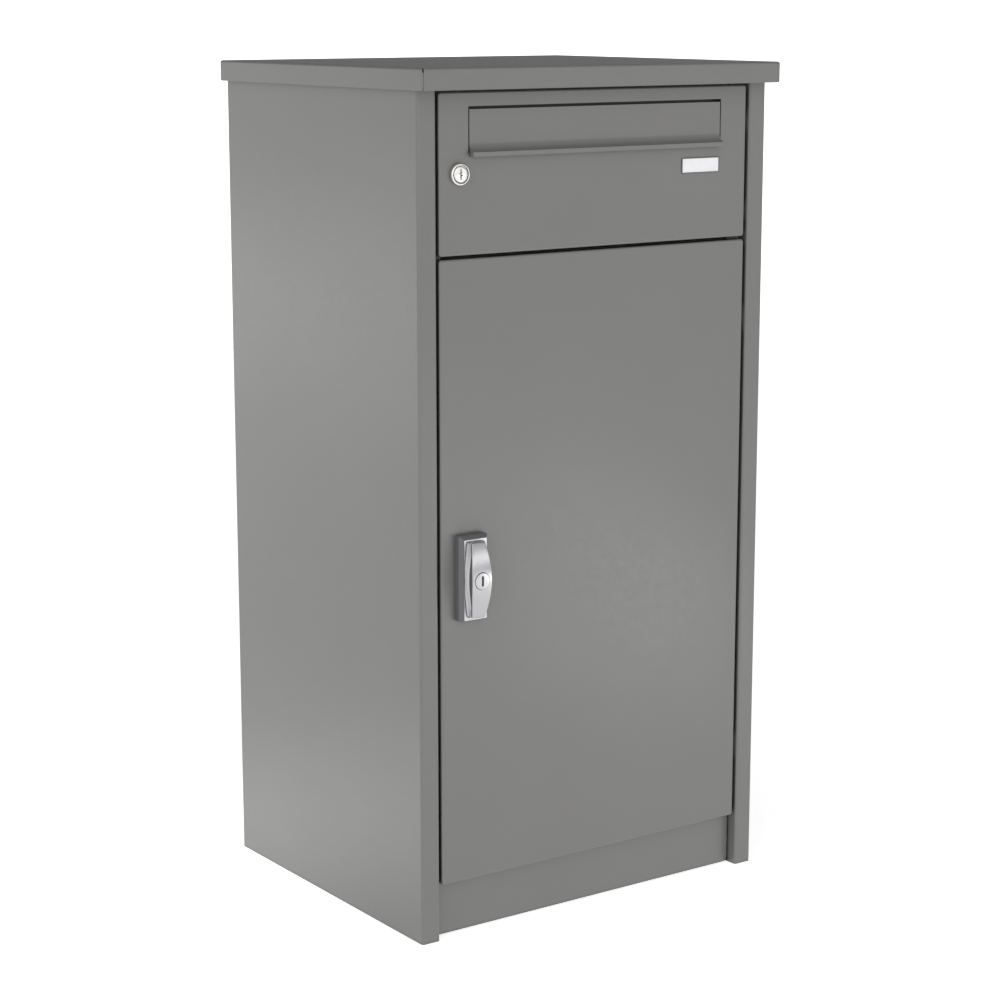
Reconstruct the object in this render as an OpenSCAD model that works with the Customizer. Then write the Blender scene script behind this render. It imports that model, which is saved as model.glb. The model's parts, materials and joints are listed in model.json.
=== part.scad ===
// Parcel drop box: a folded steel cabinet with a letter compartment above and a parcel compartment below.
// Millimetres. The origin is on the floor under the middle of the cabinet, +X to the right of someone
// facing the doors, the doors face -Y, and +Z is up.

/* [Cabinet] */
// Outside width across the side panels
body_w = 444; // [430:2:480]
// Outside depth from the front flanges to the back flanges
body_d = 375; // [360:5:450]
// Overall height to the top of the lid
total_h = 892; // [892:2:920]
// Thickness of the folded steel sheet
sheet = 1.5; // [1.3:0.1:1.6]
// Outside radius of the sheet's bends
bend_r = 3; // [2.5:0.5:4]
// Width of each side panel's front flange
front_flange = 22; // [18:1:24]
// Depth from the front flange to the door stop behind it
rebate = 16; // [16:1:20]
// Width of the door stop flange
stop_flange = 15; // [13:1:16]
// Width of each side panel's rear flange
rear_flange = 20; // [18:1:26]
// Spacing of the floor anchor holes along X
anchor_x = 280; // [200:10:320]
// Spacing of the floor anchor holes along Y
anchor_y = 240; // [160:10:260]
// Diameter of the floor anchor holes
anchor_d = 11; // [9:0.5:14]
// Spacing of the wall holes along X
wall_x = 300; // [200:10:340]
// Spacing of the wall holes along Z
wall_z = 560; // [300:10:560]
// Height of the middle of the wall holes above the floor
wall_mid_z = 400; // [380:5:400]
// Diameter of the wall holes
wall_d = 8.5; // [6:0.5:10]

/* [Lid] */
// Height of the lid's folded edge
lid_edge = 21.8; // [18:0.2:24]
// Overhang of the lid past the sides and the back
lid_side = 5.3; // [4:0.1:10]
// Overhang of the lid past the front flanges
lid_front = 17.1; // [10:0.1:30]
// Outside radius of the lid's top edge
lid_r = 2.5; // [2:0.1:4]

/* [Doors] */
// Clearance between a door's edge and the side panel
door_gap = 3.7; // [3:0.1:5]
// How far the door faces lie behind the front flanges
door_recess = 1.5; // [1:0.1:2]
// Depth of the doors' folded edges
door_depth = 10; // [8:0.5:10]
// Outside radius of the doors' folded edges
door_r = 2; // [1.7:0.1:3]
// Height of the parcel door's lower edge above the floor
parcel_z = 59; // [50:1:62]
// Height of the parcel door
parcel_h = 645.9; // [620:0.1:650]
// Height of the mail door's lower edge above the floor
mail_z = 708.1; // [708:0.1:710]
// Height of the mail door
mail_h = 159.8; // [156:0.1:160]

/* [Letter flap] */
// Width of the letter slot's cut-out
slot_w = 322.6; // [280:0.2:330]
// Height of the cut-out's upper edge above the floor
slot_top = 853.8; // [850:0.1:855]
// Height of the cut-out
slot_h = 45.3; // [43:0.1:46]
// Gap at each end of the flap
flap_gap = 1.3; // [1:0.1:2]
// How far the flap's finger lip stands out from the door face
lip_out = 7; // [5:0.5:8]
// Height of the finger lip's front face
lip_face = 4.3; // [3:0.1:5]
// Radius of the hollow above the finger lip
lip_hollow = 9.5; // [8:0.5:11]
// How far the finger lip reaches down in front of the door, below the cut-out
lip_lap = 3.6; // [3:0.1:5]

/* [Mail lock and name plate] */
// Distance of the mail lock from the centre plane, towards the left
lock_x = 173.3; // [170:0.1:176]
// Height of the mail lock
lock_z = 788.3; // [780:0.1:789]
// Diameter of the lock's face
lock_d = 22; // [20:0.5:24]
// How far the lock's face stands out from the door face
lock_out = 5.3; // [4:0.1:7]
// Width of the name plate
plate_w = 50.5; // [40:0.5:60]
// Height of the name plate
plate_h = 16; // [14:0.5:20]
// Height of the name plate's centre above the floor
plate_z = 785.8; // [780:0.1:790]

/* [Handle] */
// Distance of the handle's axis from the centre plane, towards the left
handle_x = 161.9; // [150:0.1:163]
// Height of the handle's axis
handle_z = 382; // [300:1:480]
// Width of the handle's housing
housing_w = 35; // [32:0.5:40]
// Height of the handle's housing
housing_h = 88.5; // [86:0.5:92]
// How far the housing stands out from the door face
housing_out = 12; // [10:0.5:14]
// Length of the turning grip
grip_l = 78; // [70:0.5:80]
// Width of the grip at its middle
grip_w = 24; // [22:0.5:26]
// Width of the grip at its ends
grip_end_w = 15.5; // [14:0.5:18]
// How far the middle of the grip stands out from the door face
grip_out = 24.2; // [22:0.1:26]
// How far the ends of the grip stand out from the door face
grip_end_out = 17.9; // [17:0.1:19]
// Diameter of the key cylinder
cylinder_d = 17.6; // [16:0.1:18]
// Distance of the driver's pins from the handle's axis
crank_r = 11; // [10:0.5:12]

/* [Hidden] */
$fn = 48;

paint = "#80807e";
zinc = "#b4b7ba";
dark = "#4b4b4e";
chrome = "#d2d3d5";
black_rubber = "#232323";
nylon = "#3a3a3c";

cut = 1;                          // how far a cutting shape runs past what it cuts
play = 0.05;                      // radial clearance of a running fit
half_w = body_w / 2;
front_y = -body_d / 2;
back_y = body_d / 2;
bend_in = bend_r - sheet;         // inside radius of a bend
lid_under = total_h - sheet;      // underside of the lid's top
post_x = half_w - front_flange;   // plane of the side panel's return beside the doors
stop_y = front_y + rebate;        // front of the side panels' door stops
cross_gap = 0.7;                  // clearance between the door stops and the cross members
cross_y = stop_y + sheet + cross_gap;
tray_back = back_y - 2 * sheet;   // back panel's inner face
inner_w = body_w - 2 * sheet;     // width between the side walls
fit_gap = 0.2;                    // clearance of the cross members inside the cabinet
nut_t = 4;                        // thickness of the nuts

door_w = 2 * (post_x - door_gap);
door_y = front_y + door_recess;
door_in = door_y + sheet;         // inner face of a door's sheet

floor_top = 71.5;                 // top of the parcel floor and of the plinth
floor_edge = 21.5;                // depth of the parcel floor's edges
shelf_top = 705.5;
shelf_edge = 15.5;
base_edge = 25;                   // height of the floor plate's edges
plinth_y = front_y + 13;
plinth_gap = 1.5;                 // clearance between the plinth and the side panels

hinge_in = [6.3, 6];              // hinge line from the doors' edge and from their face
hinge_x = door_w / 2 - hinge_in[0];
hinge_y = door_y + hinge_in[1];
knuckle_r = 3.5;
pin_r = 2;
hinge_play = 0.3;                 // end clearance between the knuckles
hinge_h = [60, 60, 36, 36];       // lengths of the hinges, from the lowest to the highest
hinge_z = [140, 620, 736, 830];   // heights of their middles
leaf_plate = 2;                   // thickness of a frame leaf
screw_r = 2;
screw_in = 6;                     // distance of a hinge screw from the leaf's end
screw_dx = 4;                     // and from the hinge's axis

buffer_z = [100, 640, 725, 846];
buffer_in = 8;                    // distance of the rubber buffers from the doors' opening
buffer_x = buffer_in - post_x;
buffer_stem_r = 2.4;
stud_y = [-110, 130];             // lid studs, along the side panels' top flanges
stud_in = 12;                     // distance of the studs from the side walls
stud_x = half_w - stud_in;
stud_r = 2.5;
top_flange = [-150, 170];         // where the side panels' top flanges start and end along Y
top_flange_w = 20;
rivet_in = 11.5;                  // distance of the rivets from the side walls
rivet_x = half_w - rivet_in;
rivet_low = 38;                   // height of the lowest rivets
rivet_step = 195.5;
rivet_z = [for (i = [0:4]) rivet_low + i * rivet_step];

slot_bottom = slot_top - slot_h;
rod_r = 1.5;                      // letter flap's hinge rod
bead_r = 3.5;                     // bead along the flap's upper edge
flap_axis_y = door_y + bead_r;
bead_drop = 3.7;                  // gap between the cut-out's upper edge and the bead
flap_axis_z = slot_top - bead_drop - bead_r;
flap_w = slot_w - 2 * flap_gap;
flap_t = 2;
flap_drop = 3;                    // gap between the cut-out's upper edge and the flap's face
flap_top = slot_top - flap_drop;
flap_low = slot_bottom - lip_lap; // underside of the finger lip
frame_past = 3.3;                 // how far the frame behind the slot reaches past its ends
frame_above = 2.2;                // and above it
frame_w = slot_w + 2 * frame_past;
frame_depth = 8;
frame_low = slot_bottom - sheet;
frame_h = slot_h + sheet + frame_above;
mouth_w = 300;                    // opening in the frame that letters fall through
frame_rib = 3.5;                  // stiffening rib under the mouth
mouth_drop = 4.6;                 // distance of the mouth's upper edge below the flap's axis
mouth_z = [slot_bottom + frame_rib, flap_axis_z - mouth_drop];

barrel_r = 9;                     // mail lock's threaded barrel
lock_plug_r = 6;
lock_head_r = 8;
lock_end = 18;                    // where the barrel ends, behind the door face
cam_t = 2;
cam_reach = 22;

plate_in = 2.1;                   // distance of the name plate from the end of the slot
plate_cx = slot_w / 2 - plate_in - plate_w / 2;
plate_t = 1.2;
plate_rim = 0.8;
card_back = 0.2;                  // distances of the card's two faces and of the window's face
card_front = 0.5;                 // in front of the door face
window_front = 1;

boss_r = 10;                      // handle's threaded boss
spindle_r = 6;
spindle_square = 9;
housing_rise = 0.8;               // height of the housing's middle above the handle's axis
face_t = 0.6;                     // thickness of the housing's face plate
seat = 6;                         // depth of the key cylinder's seat in the grip
socket = 7;                       // where the spindle's socket starts behind the grip's front
arc_steps = 480;                  // steps in a full turn of the grip's large, shallow arcs
driver_y = 17.5;                  // distances behind the door face
driver_t = 3;
rods_y = 24;
bar_r = 4;                        // locking rods
yoke_t = 5;
rod_travel = crank_r * sqrt(2);   // stroke of a rod over a quarter turn of the handle
tip_gap = [1.9, 2.5];             // gap over the raised upper rod and under the raised lower rod
upper_tip = shelf_top - sheet - tip_gap[0] - rod_travel;
lower_tip = floor_top + tip_gap[1];
guide_z = [120, 640];

// ---------------------------------------------------------------- general shapes

// Moves a flat shape drawn in X and Z to lie between two Y positions.
module along_y(y0, y1) {
  translate([0, y1, 0]) rotate([90, 0, 0]) linear_extrude(y1 - y0) children();
}

// Moves a flat shape drawn in Y and Z to lie between two X positions.
module along_x(x0, x1) {
  translate([x0, 0, 0]) rotate([90, 0, 90]) linear_extrude(x1 - x0) children();
}

// A cylinder along Y between two Y positions.
module round_y(r, y0, y1) {
  translate([0, y1, 0]) rotate([90, 0, 0]) cylinder(r = r, h = y1 - y0);
}

// A box given by its lowest and highest corners.
module box(lo, hi) {
  translate(lo) cube(hi - lo);
}

// Quarter ring of a bend. The quadrant is given as [1 or -1, 1 or -1].
module bend(centre, quadrant) {
  translate(centre) intersection() {
    difference() {
      circle(r = bend_r);
      circle(r = bend_in);
    }
    translate([min(quadrant[0], 0) * bend_r, min(quadrant[1], 0) * bend_r]) square(bend_r);
  }
}

// Rectangle centred on X that starts at Y = 0 with two rounded corners.
module rounded_end(w, d, r) {
  translate([-w / 2, r]) square([w, d - r]);
  translate([-w / 2 + r, 0]) square([w - 2 * r, r]);
  for (side = [-1, 1]) translate([side * (w / 2 - r), r]) circle(r = r);
}

// Block whose front face, at Y = 0, has four rounded edges.
module tray_block(w, h, d, r) {
  intersection() {
    linear_extrude(h) rounded_end(w, d, r);
    translate([-w / 2, 0, h / 2]) rotate([0, 90, 0]) linear_extrude(w) rounded_end(h, d, r);
  }
}

// Sheet folded back on its four sides. The face is at Y = 0 and the tray opens towards +Y.
module tray(w, h, d, r) {
  difference() {
    tray_block(w, h, d, r);
    translate([0, sheet, sheet]) tray_block(w - 2 * sheet, h - 2 * sheet, d, r - sheet);
  }
}

// A tray lying with its face up, between two Y positions, with its face at height z.
module tray_up(w, y0, y1, z, d, r) {
  translate([0, y0, z]) rotate([-90, 0, 0]) tray(w, y1 - y0, d, r);
}

// Hexagon nut or bolt head along Y, by its width across flats.
module hexagon_y(flats, y0, y1) {
  translate([0, y1, 0]) rotate([90, 0, 0]) cylinder(r = flats / sqrt(3), h = y1 - y0, $fn = 6);
}

// ---------------------------------------------------------------- cabinet

// Section of the left side panel: wall, front flange, return, door stop and rear flange.
module side_section() {
  translate([-half_w, front_y + bend_r]) square([sheet, body_d - 2 * bend_r]);
  bend([-half_w + bend_r, front_y + bend_r], [-1, -1]);
  translate([-half_w + bend_r, front_y]) square([front_flange - 2 * bend_r, sheet]);
  bend([-post_x - bend_r, front_y + bend_r], [1, -1]);
  translate([-post_x - sheet, front_y + bend_r]) square([sheet, rebate - bend_r - bend_in]);
  bend([-post_x + bend_in, stop_y - bend_in], [-1, 1]);
  translate([-post_x + bend_in, stop_y]) square([stop_flange - bend_in, sheet]);
  bend([-half_w + bend_r, back_y - bend_r], [-1, 1]);
  translate([-half_w + bend_r, back_y - sheet]) square([rear_flange - bend_r, sheet]);
}

module side_panel() {
  stud_play = 0.3;
  difference() {
    union() {
      linear_extrude(lid_under - bend_r) side_section();
      along_y(top_flange[0], top_flange[1]) {
        bend([-half_w + bend_r, lid_under - bend_r], [-1, 1]);
        translate([-half_w + bend_r, lid_under - sheet]) square([top_flange_w - bend_r, sheet]);
      }
    }
    for (y = stud_y)
      translate([-stud_x, y, lid_under - sheet - cut]) cylinder(r = stud_r + stud_play, h = sheet + 2 * cut);
    for (z = rivet_z)
      translate([-rivet_x, 0, z]) round_y(screw_r + play, back_y - sheet - cut, back_y + cut);
  }
}

module left_side_panel() {
  color(paint) difference() {
    side_panel();
    for (z = buffer_z) translate([buffer_x, 0, z])
      round_y(buffer_stem_r + 2 * play, stop_y - cut, stop_y + sheet + cut);
  }
}

module right_side_panel() {
  window_past = [4.5, 1.5];         // how far a window reaches past the hinge line and the knuckle
  color(paint) difference() {
    mirror([1, 0, 0]) side_panel();
    for (i = [0:3]) {
      window = hinge_h[i] / 6 + window_past[1];
      box([post_x - stop_flange - cut, stop_y - cut, hinge_z[i] - window],
        [hinge_x + window_past[0], stop_y + sheet + cut, hinge_z[i] + window]);
      for (side = [-1, 1])
        translate([hinge_x + screw_dx, 0, hinge_z[i] + side * (hinge_h[i] / 2 - screw_in)])
          round_y(screw_r + play, stop_y - cut, stop_y + sheet + cut);
    }
  }
}

// Rear wall: a plate with a flange under the lid, four wall holes and its rivet holes.
module back_panel() {
  flange_end = 25;
  flange_w = body_w - 2 * flange_end;
  flange_d = 20;
  color(paint) difference() {
    union() {
      along_x(-half_w + bend_r, half_w - bend_r)
        translate([tray_back, sheet]) square([sheet, lid_under - bend_r - sheet]);
      along_x(-flange_w / 2, flange_w / 2) {
        bend([tray_back + sheet - bend_r, lid_under - bend_r], [1, 1]);
        translate([tray_back - flange_d, lid_under - sheet]) square([flange_d + sheet - bend_r, sheet]);
      }
    }
    for (x = [-1, 1], z = [-1, 1])
      translate([x * wall_x / 2, 0, wall_mid_z + z * wall_z / 2])
        round_y(wall_d / 2, tray_back - cut, tray_back + sheet + cut);
    for (side = [-1, 1], z = rivet_z)
      translate([side * rivet_x, 0, z]) round_y(screw_r + play, tray_back - cut, tray_back + sheet + cut);
  }
}

// Roof tray with a relief notch where the edges meet and four weld studs for its nuts.
module lid() {
  notch = 1.6;
  notch_h = 4;
  notch_drop = 0.4;
  stud_l = 12;
  lid_w = body_w + 2 * lid_side;
  y0 = front_y - lid_front;
  y1 = back_y + lid_side;
  color(paint) {
    difference() {
      tray_up(lid_w, y0, y1, total_h, lid_edge, lid_r);
      for (side = [-1, 1], y = [y0 + sheet, y1 - sheet])
        translate([side * (lid_w / 2 - sheet), y, total_h - notch_h / 2 - notch_drop])
          cube([notch, notch, notch_h], center = true);
    }
    for (side = [-1, 1], y = stud_y)
      translate([side * stud_x, y, lid_under - stud_l]) cylinder(r = stud_r, h = stud_l);
  }
}

module lid_nuts() {
  flats = 8;
  color(zinc) for (side = [-1, 1], y = stud_y)
    translate([side * stud_x, y, lid_under - sheet - nut_t]) difference() {
      cylinder(r = flats / sqrt(3), h = nut_t, $fn = 6);
      translate([0, 0, -cut]) cylinder(r = stud_r + play, h = nut_t + 2 * cut);
    }
}

// Base tray that stands on the ground, with four anchor holes.
module floor_plate() {
  color(zinc) difference() {
    translate([0, tray_back, 0]) rotate([90, 0, 0]) tray(inner_w, tray_back - cross_y, base_edge, bend_r);
    for (x = [-1, 1], y = [-1, 1])
      translate([x * anchor_x / 2, y * anchor_y / 2, -cut]) cylinder(r = anchor_d / 2, h = sheet + 2 * cut);
  }
}

// Kick panel under the parcel door, with a flange at its top and bottom.
// Its upper right corner is cut away where the door's edge turns.
module plinth() {
  w = post_x - plinth_gap;
  flange_gap = 1;
  flange_w = post_x - stop_flange - flange_gap;
  swing_w = 22;
  swing_z = parcel_z - 2;
  corner = 3;
  color(paint) {
    along_y(plinth_y, plinth_y + sheet) polygon([
      [-w + corner, 0], [w - corner, 0], [w, corner], [w, swing_z], [w - swing_w, swing_z],
      [w - swing_w, floor_top - bend_r], [-w, floor_top - bend_r], [-w, corner]
    ]);
    along_x(-flange_w, w - swing_w) {
      bend([plinth_y + bend_r, floor_top - bend_r], [-1, 1]);
      translate([plinth_y + bend_r, floor_top - sheet]) square([cross_y - plinth_y - bend_r, sheet]);
    }
    along_x(-flange_w, flange_w)
      translate([plinth_y + sheet, 0]) square([cross_y - plinth_y - sheet, sheet]);
  }
}

// Angle that the parcel floor's edge stands on.
module floor_support() {
  top = floor_top - floor_edge;
  leg = 20;
  end_gap = 4;
  color(zinc) along_y(cross_y + end_gap, tray_back - end_gap) {
    translate([-half_w + sheet, top - leg - bend_r]) square([sheet, leg]);
    bend([-half_w + sheet + bend_r, top - bend_r], [-1, 1]);
    translate([-half_w + sheet + bend_r, top - sheet]) square([leg, sheet]);
  }
}

module floor_support_left() {
  floor_support();
}

module floor_support_right() {
  mirror([1, 0, 0]) floor_support();
}

module parcel_floor() {
  rod_y = door_y + rods_y;
  strike = 5.5;
  strike_gap = 0.2;
  color(paint) difference() {
    tray_up(inner_w - 2 * fit_gap, cross_y, tray_back - fit_gap, floor_top, floor_edge, bend_r);
    box([-handle_x - strike, rod_y - bar_r - strike_gap, floor_top - sheet - cut],
      [-handle_x + strike, rod_y + strike, floor_top + cut]);
  }
}

// Floor of the letter compartment. Its front edge is what the upper locking rod goes up behind.
module partition_shelf() {
  color(paint) tray_up(inner_w - 2 * fit_gap, cross_y, tray_back - fit_gap, shelf_top, shelf_edge, bend_r);
}

// Angle under the front of the lid, behind the top of the mail door.
module top_rail() {
  low = lid_under - 38;
  leg = 12;
  color(paint) along_x(-inner_w / 2 + fit_gap, inner_w / 2 - fit_gap) {
    translate([cross_y, low]) square([sheet, lid_under - bend_r - low]);
    bend([cross_y + bend_r, lid_under - bend_r], [-1, 1]);
    translate([cross_y + bend_r, lid_under - sheet]) square([leg, sheet]);
  }
}

module back_panel_rivets() {
  head_r = 4;
  tail_r = 3;
  head_t = 1.2;
  color(zinc) for (side = [-1, 1], z = rivet_z) translate([side * rivet_x, 0, z]) {
    round_y(screw_r, tray_back - head_t, back_y + head_t);
    round_y(head_r, back_y, back_y + head_t);
    round_y(tail_r, tray_back - head_t, tray_back);
  }
}

// Rubber buffers on the lock side, which the doors' folded edges close against.
module door_buffers() {
  pad_r = 5;
  pad_gap = 0.1;
  barb_r = 3.4;
  barb_t = 1.5;
  color(black_rubber) for (z = buffer_z) translate([buffer_x, 0, z]) {
    round_y(pad_r, door_y + door_depth + pad_gap, stop_y);
    round_y(buffer_stem_r, stop_y - cut, stop_y + sheet + cut);
    round_y(barb_r, stop_y + sheet, stop_y + sheet + barb_t);
  }
}

// ---------------------------------------------------------------- hinges

// Leaf on the cabinet: a plate behind the door stop and an arm that carries the middle knuckle.
module frame_leaf(i) {
  h = hinge_h[i];
  middle = h / 3 - 2 * hinge_play;
  plate_y = stop_y + sheet - hinge_y;
  half_plate = 8;
  arm = [-1, 2];
  color(zinc) translate([hinge_x, hinge_y, hinge_z[i]]) difference() {
    union() {
      cylinder(r = knuckle_r, h = middle, center = true);
      box([arm[0], 0, -middle / 2], [arm[1], plate_y + cut, middle / 2]);
      box([-half_plate, plate_y, -h / 2], [half_plate, plate_y + leaf_plate, h / 2]);
    }
    cylinder(r = pin_r + play, h = h, center = true);
    for (side = [-1, 1]) translate([screw_dx, 0, side * (h / 2 - screw_in)])
      round_y(screw_r + play, plate_y - cut, plate_y + leaf_plate + cut);
  }
}

// Leaf on the door: a plate on the inner face and two knuckles.
module door_leaf(i) {
  h = hinge_h[i];
  sheet_y = door_in - hinge_y;
  leaf_x = [-20, -6];
  color(zinc) translate([hinge_x, hinge_y, hinge_z[i]]) {
    box([leaf_x[0], sheet_y, -h / 2], [leaf_x[1], sheet_y + sheet, h / 2]);
    for (z = [-h / 2, h / 6]) translate([0, 0, z]) difference() {
      union() {
        cylinder(r = knuckle_r, h = h / 3);
        box([leaf_x[1] - cut, sheet_y, 0], [0, 0, h / 3]);
      }
      translate([0, 0, -cut]) cylinder(r = pin_r + play, h = h / 3 + 2 * cut);
    }
  }
}

module hinge_pin(i) {
  h = hinge_h[i];
  over = 1;
  head_r = 3;
  head_t = 1.5;
  color(chrome) translate([hinge_x, hinge_y, hinge_z[i] - h / 2 - over]) {
    cylinder(r = pin_r, h = h + 2 * over);
    translate([0, 0, h + over]) cylinder(r = head_r, h = head_t);
  }
}

module hinge_screws() {
  head_y = stop_y + sheet + leaf_plate;
  head_r = 3.5;
  head_t = 2.4;
  color(zinc) for (i = [0:3], side = [-1, 1])
    translate([hinge_x + screw_dx, 0, hinge_z[i] + side * (hinge_h[i] / 2 - screw_in)]) {
      round_y(screw_r, stop_y, head_y + cut);
      round_y(head_r, head_y, head_y + head_t);
    }
}

// Cuts the door's folded edge away where the frame leaves' arms reach in.
module hinge_notches(hinges) {
  swing = 2;
  for (i = hinges) {
    half = hinge_h[i] / 6 + swing;
    box([hinge_x + knuckle_r, door_in, hinge_z[i] - half],
      [door_w / 2 + cut, door_y + door_depth + cut, hinge_z[i] + half]);
  }
}

// ---------------------------------------------------------------- mail door

module mail_door_panel() {
  color(paint) difference() {
    translate([0, door_y, mail_z]) tray(door_w, mail_h, door_depth, door_r);
    box([-slot_w / 2, door_y - cut, slot_bottom], [slot_w / 2, door_in + cut, slot_top]);
    translate([-lock_x, 0, lock_z]) round_y(barrel_r + play, door_y - cut, door_in + cut);
    hinge_notches([2, 3]);
  }
}

// Tray behind the slot. Its ends carry the flap's rod and its rib stops the flap.
module flap_frame() {
  back = door_in + frame_depth;
  rib_y = [door_in + 1, back - 1];
  rib_sink = 0.2;
  color(nylon) difference() {
    union() {
      translate([0, back, frame_low]) mirror([0, 1, 0]) tray(frame_w, frame_h, frame_depth, door_r);
      box([-mouth_w / 2, rib_y[0], slot_bottom - rib_sink],
        [mouth_w / 2, rib_y[1], slot_bottom + frame_rib]);
    }
    box([-mouth_w / 2, back - sheet - cut, mouth_z[0]], [mouth_w / 2, back + cut, mouth_z[1]]);
    translate([-frame_w / 2 - cut, flap_axis_y, flap_axis_z]) rotate([0, 90, 0])
      cylinder(r = rod_r + play, h = frame_w + 2 * cut);
  }
}

module flap_hinge_rod() {
  over = 2;
  color(chrome) translate([-frame_w / 2 - over, flap_axis_y, flap_axis_z]) rotate([0, 90, 0])
    cylinder(r = rod_r, h = frame_w + 2 * over);
}

// Extruded flap: a bead around the rod behind its flat face, and below it a finger lip with a hollow
// above. The lip hangs in front of the door under the cut-out, clear of the door's face.
module letter_flap() {
  lip_y = door_y - lip_out;
  off_face = 0.4;
  rise = sqrt(pow(lip_hollow, 2) - pow(lip_hollow - lip_out, 2));
  hollow_z = flap_low + lip_face + rise;
  color(paint) along_x(-flap_w / 2, flap_w / 2) difference() {
    union() {
      translate([flap_axis_y, flap_axis_z]) circle(r = bead_r);
      translate([door_y, hollow_z - cut]) square([flap_t, flap_top - hollow_z + cut]);
      difference() {
        translate([lip_y, flap_low]) square([lip_out + flap_t, hollow_z - flap_low]);
        translate([door_y - lip_hollow, hollow_z]) circle(r = lip_hollow);
      }
    }
    translate([flap_axis_y, flap_axis_z]) circle(r = rod_r + play);
    translate([door_y - off_face, flap_low - cut])
      square([flap_t + off_face + cut, slot_bottom + flap_gap - flap_low + cut]);
  }
}

module at_name_plate() {
  translate([plate_cx, door_y, plate_z]) children();
}

module name_plate_frame() {
  in_w = plate_w - 2 * plate_rim;
  in_h = plate_h - 2 * plate_rim;
  color(dark) at_name_plate() difference() {
    box([-plate_w / 2, -plate_t, -plate_h / 2], [plate_w / 2, 0, plate_h / 2]);
    box([-in_w / 2, -plate_t - cut, -in_h / 2], [in_w / 2, -card_back, in_h / 2]);
  }
}

// A thin sheet inside the name plate's rim, between two distances in front of the door face.
module plate_insert(near, far) {
  in_w = plate_w - 2 * plate_rim;
  in_h = plate_h - 2 * plate_rim;
  at_name_plate() box([-in_w / 2, -far, -in_h / 2], [in_w / 2, -near, in_h / 2]);
}

module name_card() {
  color("white") plate_insert(card_back, card_front);
}

module name_window() {
  color("#dfe6ea", 0.4) plate_insert(card_front, window_front);
}

module at_mail_lock() {
  translate([-lock_x, door_y, lock_z]) children();
}

module mail_lock_housing() {
  head_depth = 2.5;
  color(chrome) at_mail_lock() difference() {
    union() {
      round_y(lock_d / 2, -lock_out, 0);
      round_y(barrel_r, -cut, lock_end);
    }
    round_y(lock_head_r + play, -lock_out - cut, -lock_out + head_depth);
    round_y(lock_plug_r + play, -lock_out, lock_end + cut);
  }
}

module mail_lock_nut() {
  flats = 24;
  color(zinc) at_mail_lock() difference() {
    hexagon_y(flats, sheet, sheet + nut_t);
    round_y(barrel_r + play, sheet - cut, sheet + nut_t + cut);
  }
}

// Turning plug with its keyway and a square tail for the cam.
module mail_lock_plug() {
  tail = 7;
  head_t = 2;
  front = -lock_out + 0.4;
  keyway = [1.6, 2, 10.5];          // width, depth and height
  color(chrome) at_mail_lock() difference() {
    union() {
      round_y(lock_head_r, front, front + head_t);
      round_y(lock_plug_r, front, lock_end);
      box([-tail / 2, lock_end - cut, -tail / 2], [tail / 2, lock_end + cam_t, tail / 2]);
    }
    box([-keyway[0] / 2, front - cut, -keyway[2] / 2], [keyway[0] / 2, front + keyway[1], keyway[2] / 2]);
  }
}

// Cam, hanging down at rest. A quarter turn brings it behind the door stop.
module mail_lock_cam() {
  tail = 7 + 2 * play;
  arm = 7;
  color(zinc) at_mail_lock() difference() {
    union() {
      round_y(barrel_r, lock_end, lock_end + cam_t);
      box([-arm, lock_end, -cam_reach], [arm, lock_end + cam_t, 0]);
    }
    box([-tail / 2, lock_end - cut, -tail / 2], [tail / 2, lock_end + cam_t + cut, tail / 2]);
  }
}

module mail_lock_screw() {
  flats = 9;
  head_t = 3;
  color(zinc) at_mail_lock() hexagon_y(flats, lock_end + cam_t, lock_end + cam_t + head_t);
}

// ---------------------------------------------------------------- parcel door

module parcel_door_panel() {
  color(paint) difference() {
    translate([0, door_y, parcel_z]) tray(door_w, parcel_h, door_depth, door_r);
    translate([-handle_x, 0, handle_z]) round_y(boss_r + play, door_y - cut, door_in + cut);
    hinge_notches([0, 1]);
  }
}

// Hat channel that keeps the door's sheet flat.
module door_stiffener() {
  x = 40;
  crown = 20;
  foot = 15;
  top = 11;
  end_gap = 31;
  color(zinc) translate([x, door_in, parcel_z + end_gap]) linear_extrude(parcel_h - 2 * end_gap) {
    for (side = [-1, 1]) {
      translate([side * (crown + foot / 2) - foot / 2, 0]) square([foot, sheet]);
      translate([side * (crown - sheet / 2) - sheet / 2, 0]) square([sheet, top]);
    }
    translate([-crown, top - sheet]) square([2 * crown, sheet]);
  }
}

module at_handle() {
  translate([-handle_x, door_y, handle_z]) children();
}

// Outline of the housing: straight sides, then a slope to the front on each side.
module housing_outline(w, slopes) {
  straight = 7;
  front = face_t - housing_out;
  polygon([
    [-w / 2, 0], [w / 2, 0], [w / 2, -straight], [w / 2 - slopes[1], front],
    [-w / 2 + slopes[0], front], [-w / 2, -straight]
  ]);
}

// Three of the housing's edges slope to its face. The lower one is steeper.
module handle_housing() {
  slope = 3.2;
  low_slope = 0.8;
  color(dark) at_handle() difference() {
    union() {
      translate([0, 0, housing_rise]) intersection() {
        translate([0, 0, -housing_h / 2]) linear_extrude(housing_h)
          housing_outline(housing_w, [slope, slope]);
        translate([-housing_w / 2, 0, 0]) rotate([0, 90, 0]) linear_extrude(housing_w)
          housing_outline(housing_h, [slope, low_slope]);
      }
      round_y(boss_r, -cut, door_depth);
    }
    round_y(spindle_r + play, -housing_out - cut, door_depth + cut);
  }
}

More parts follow.
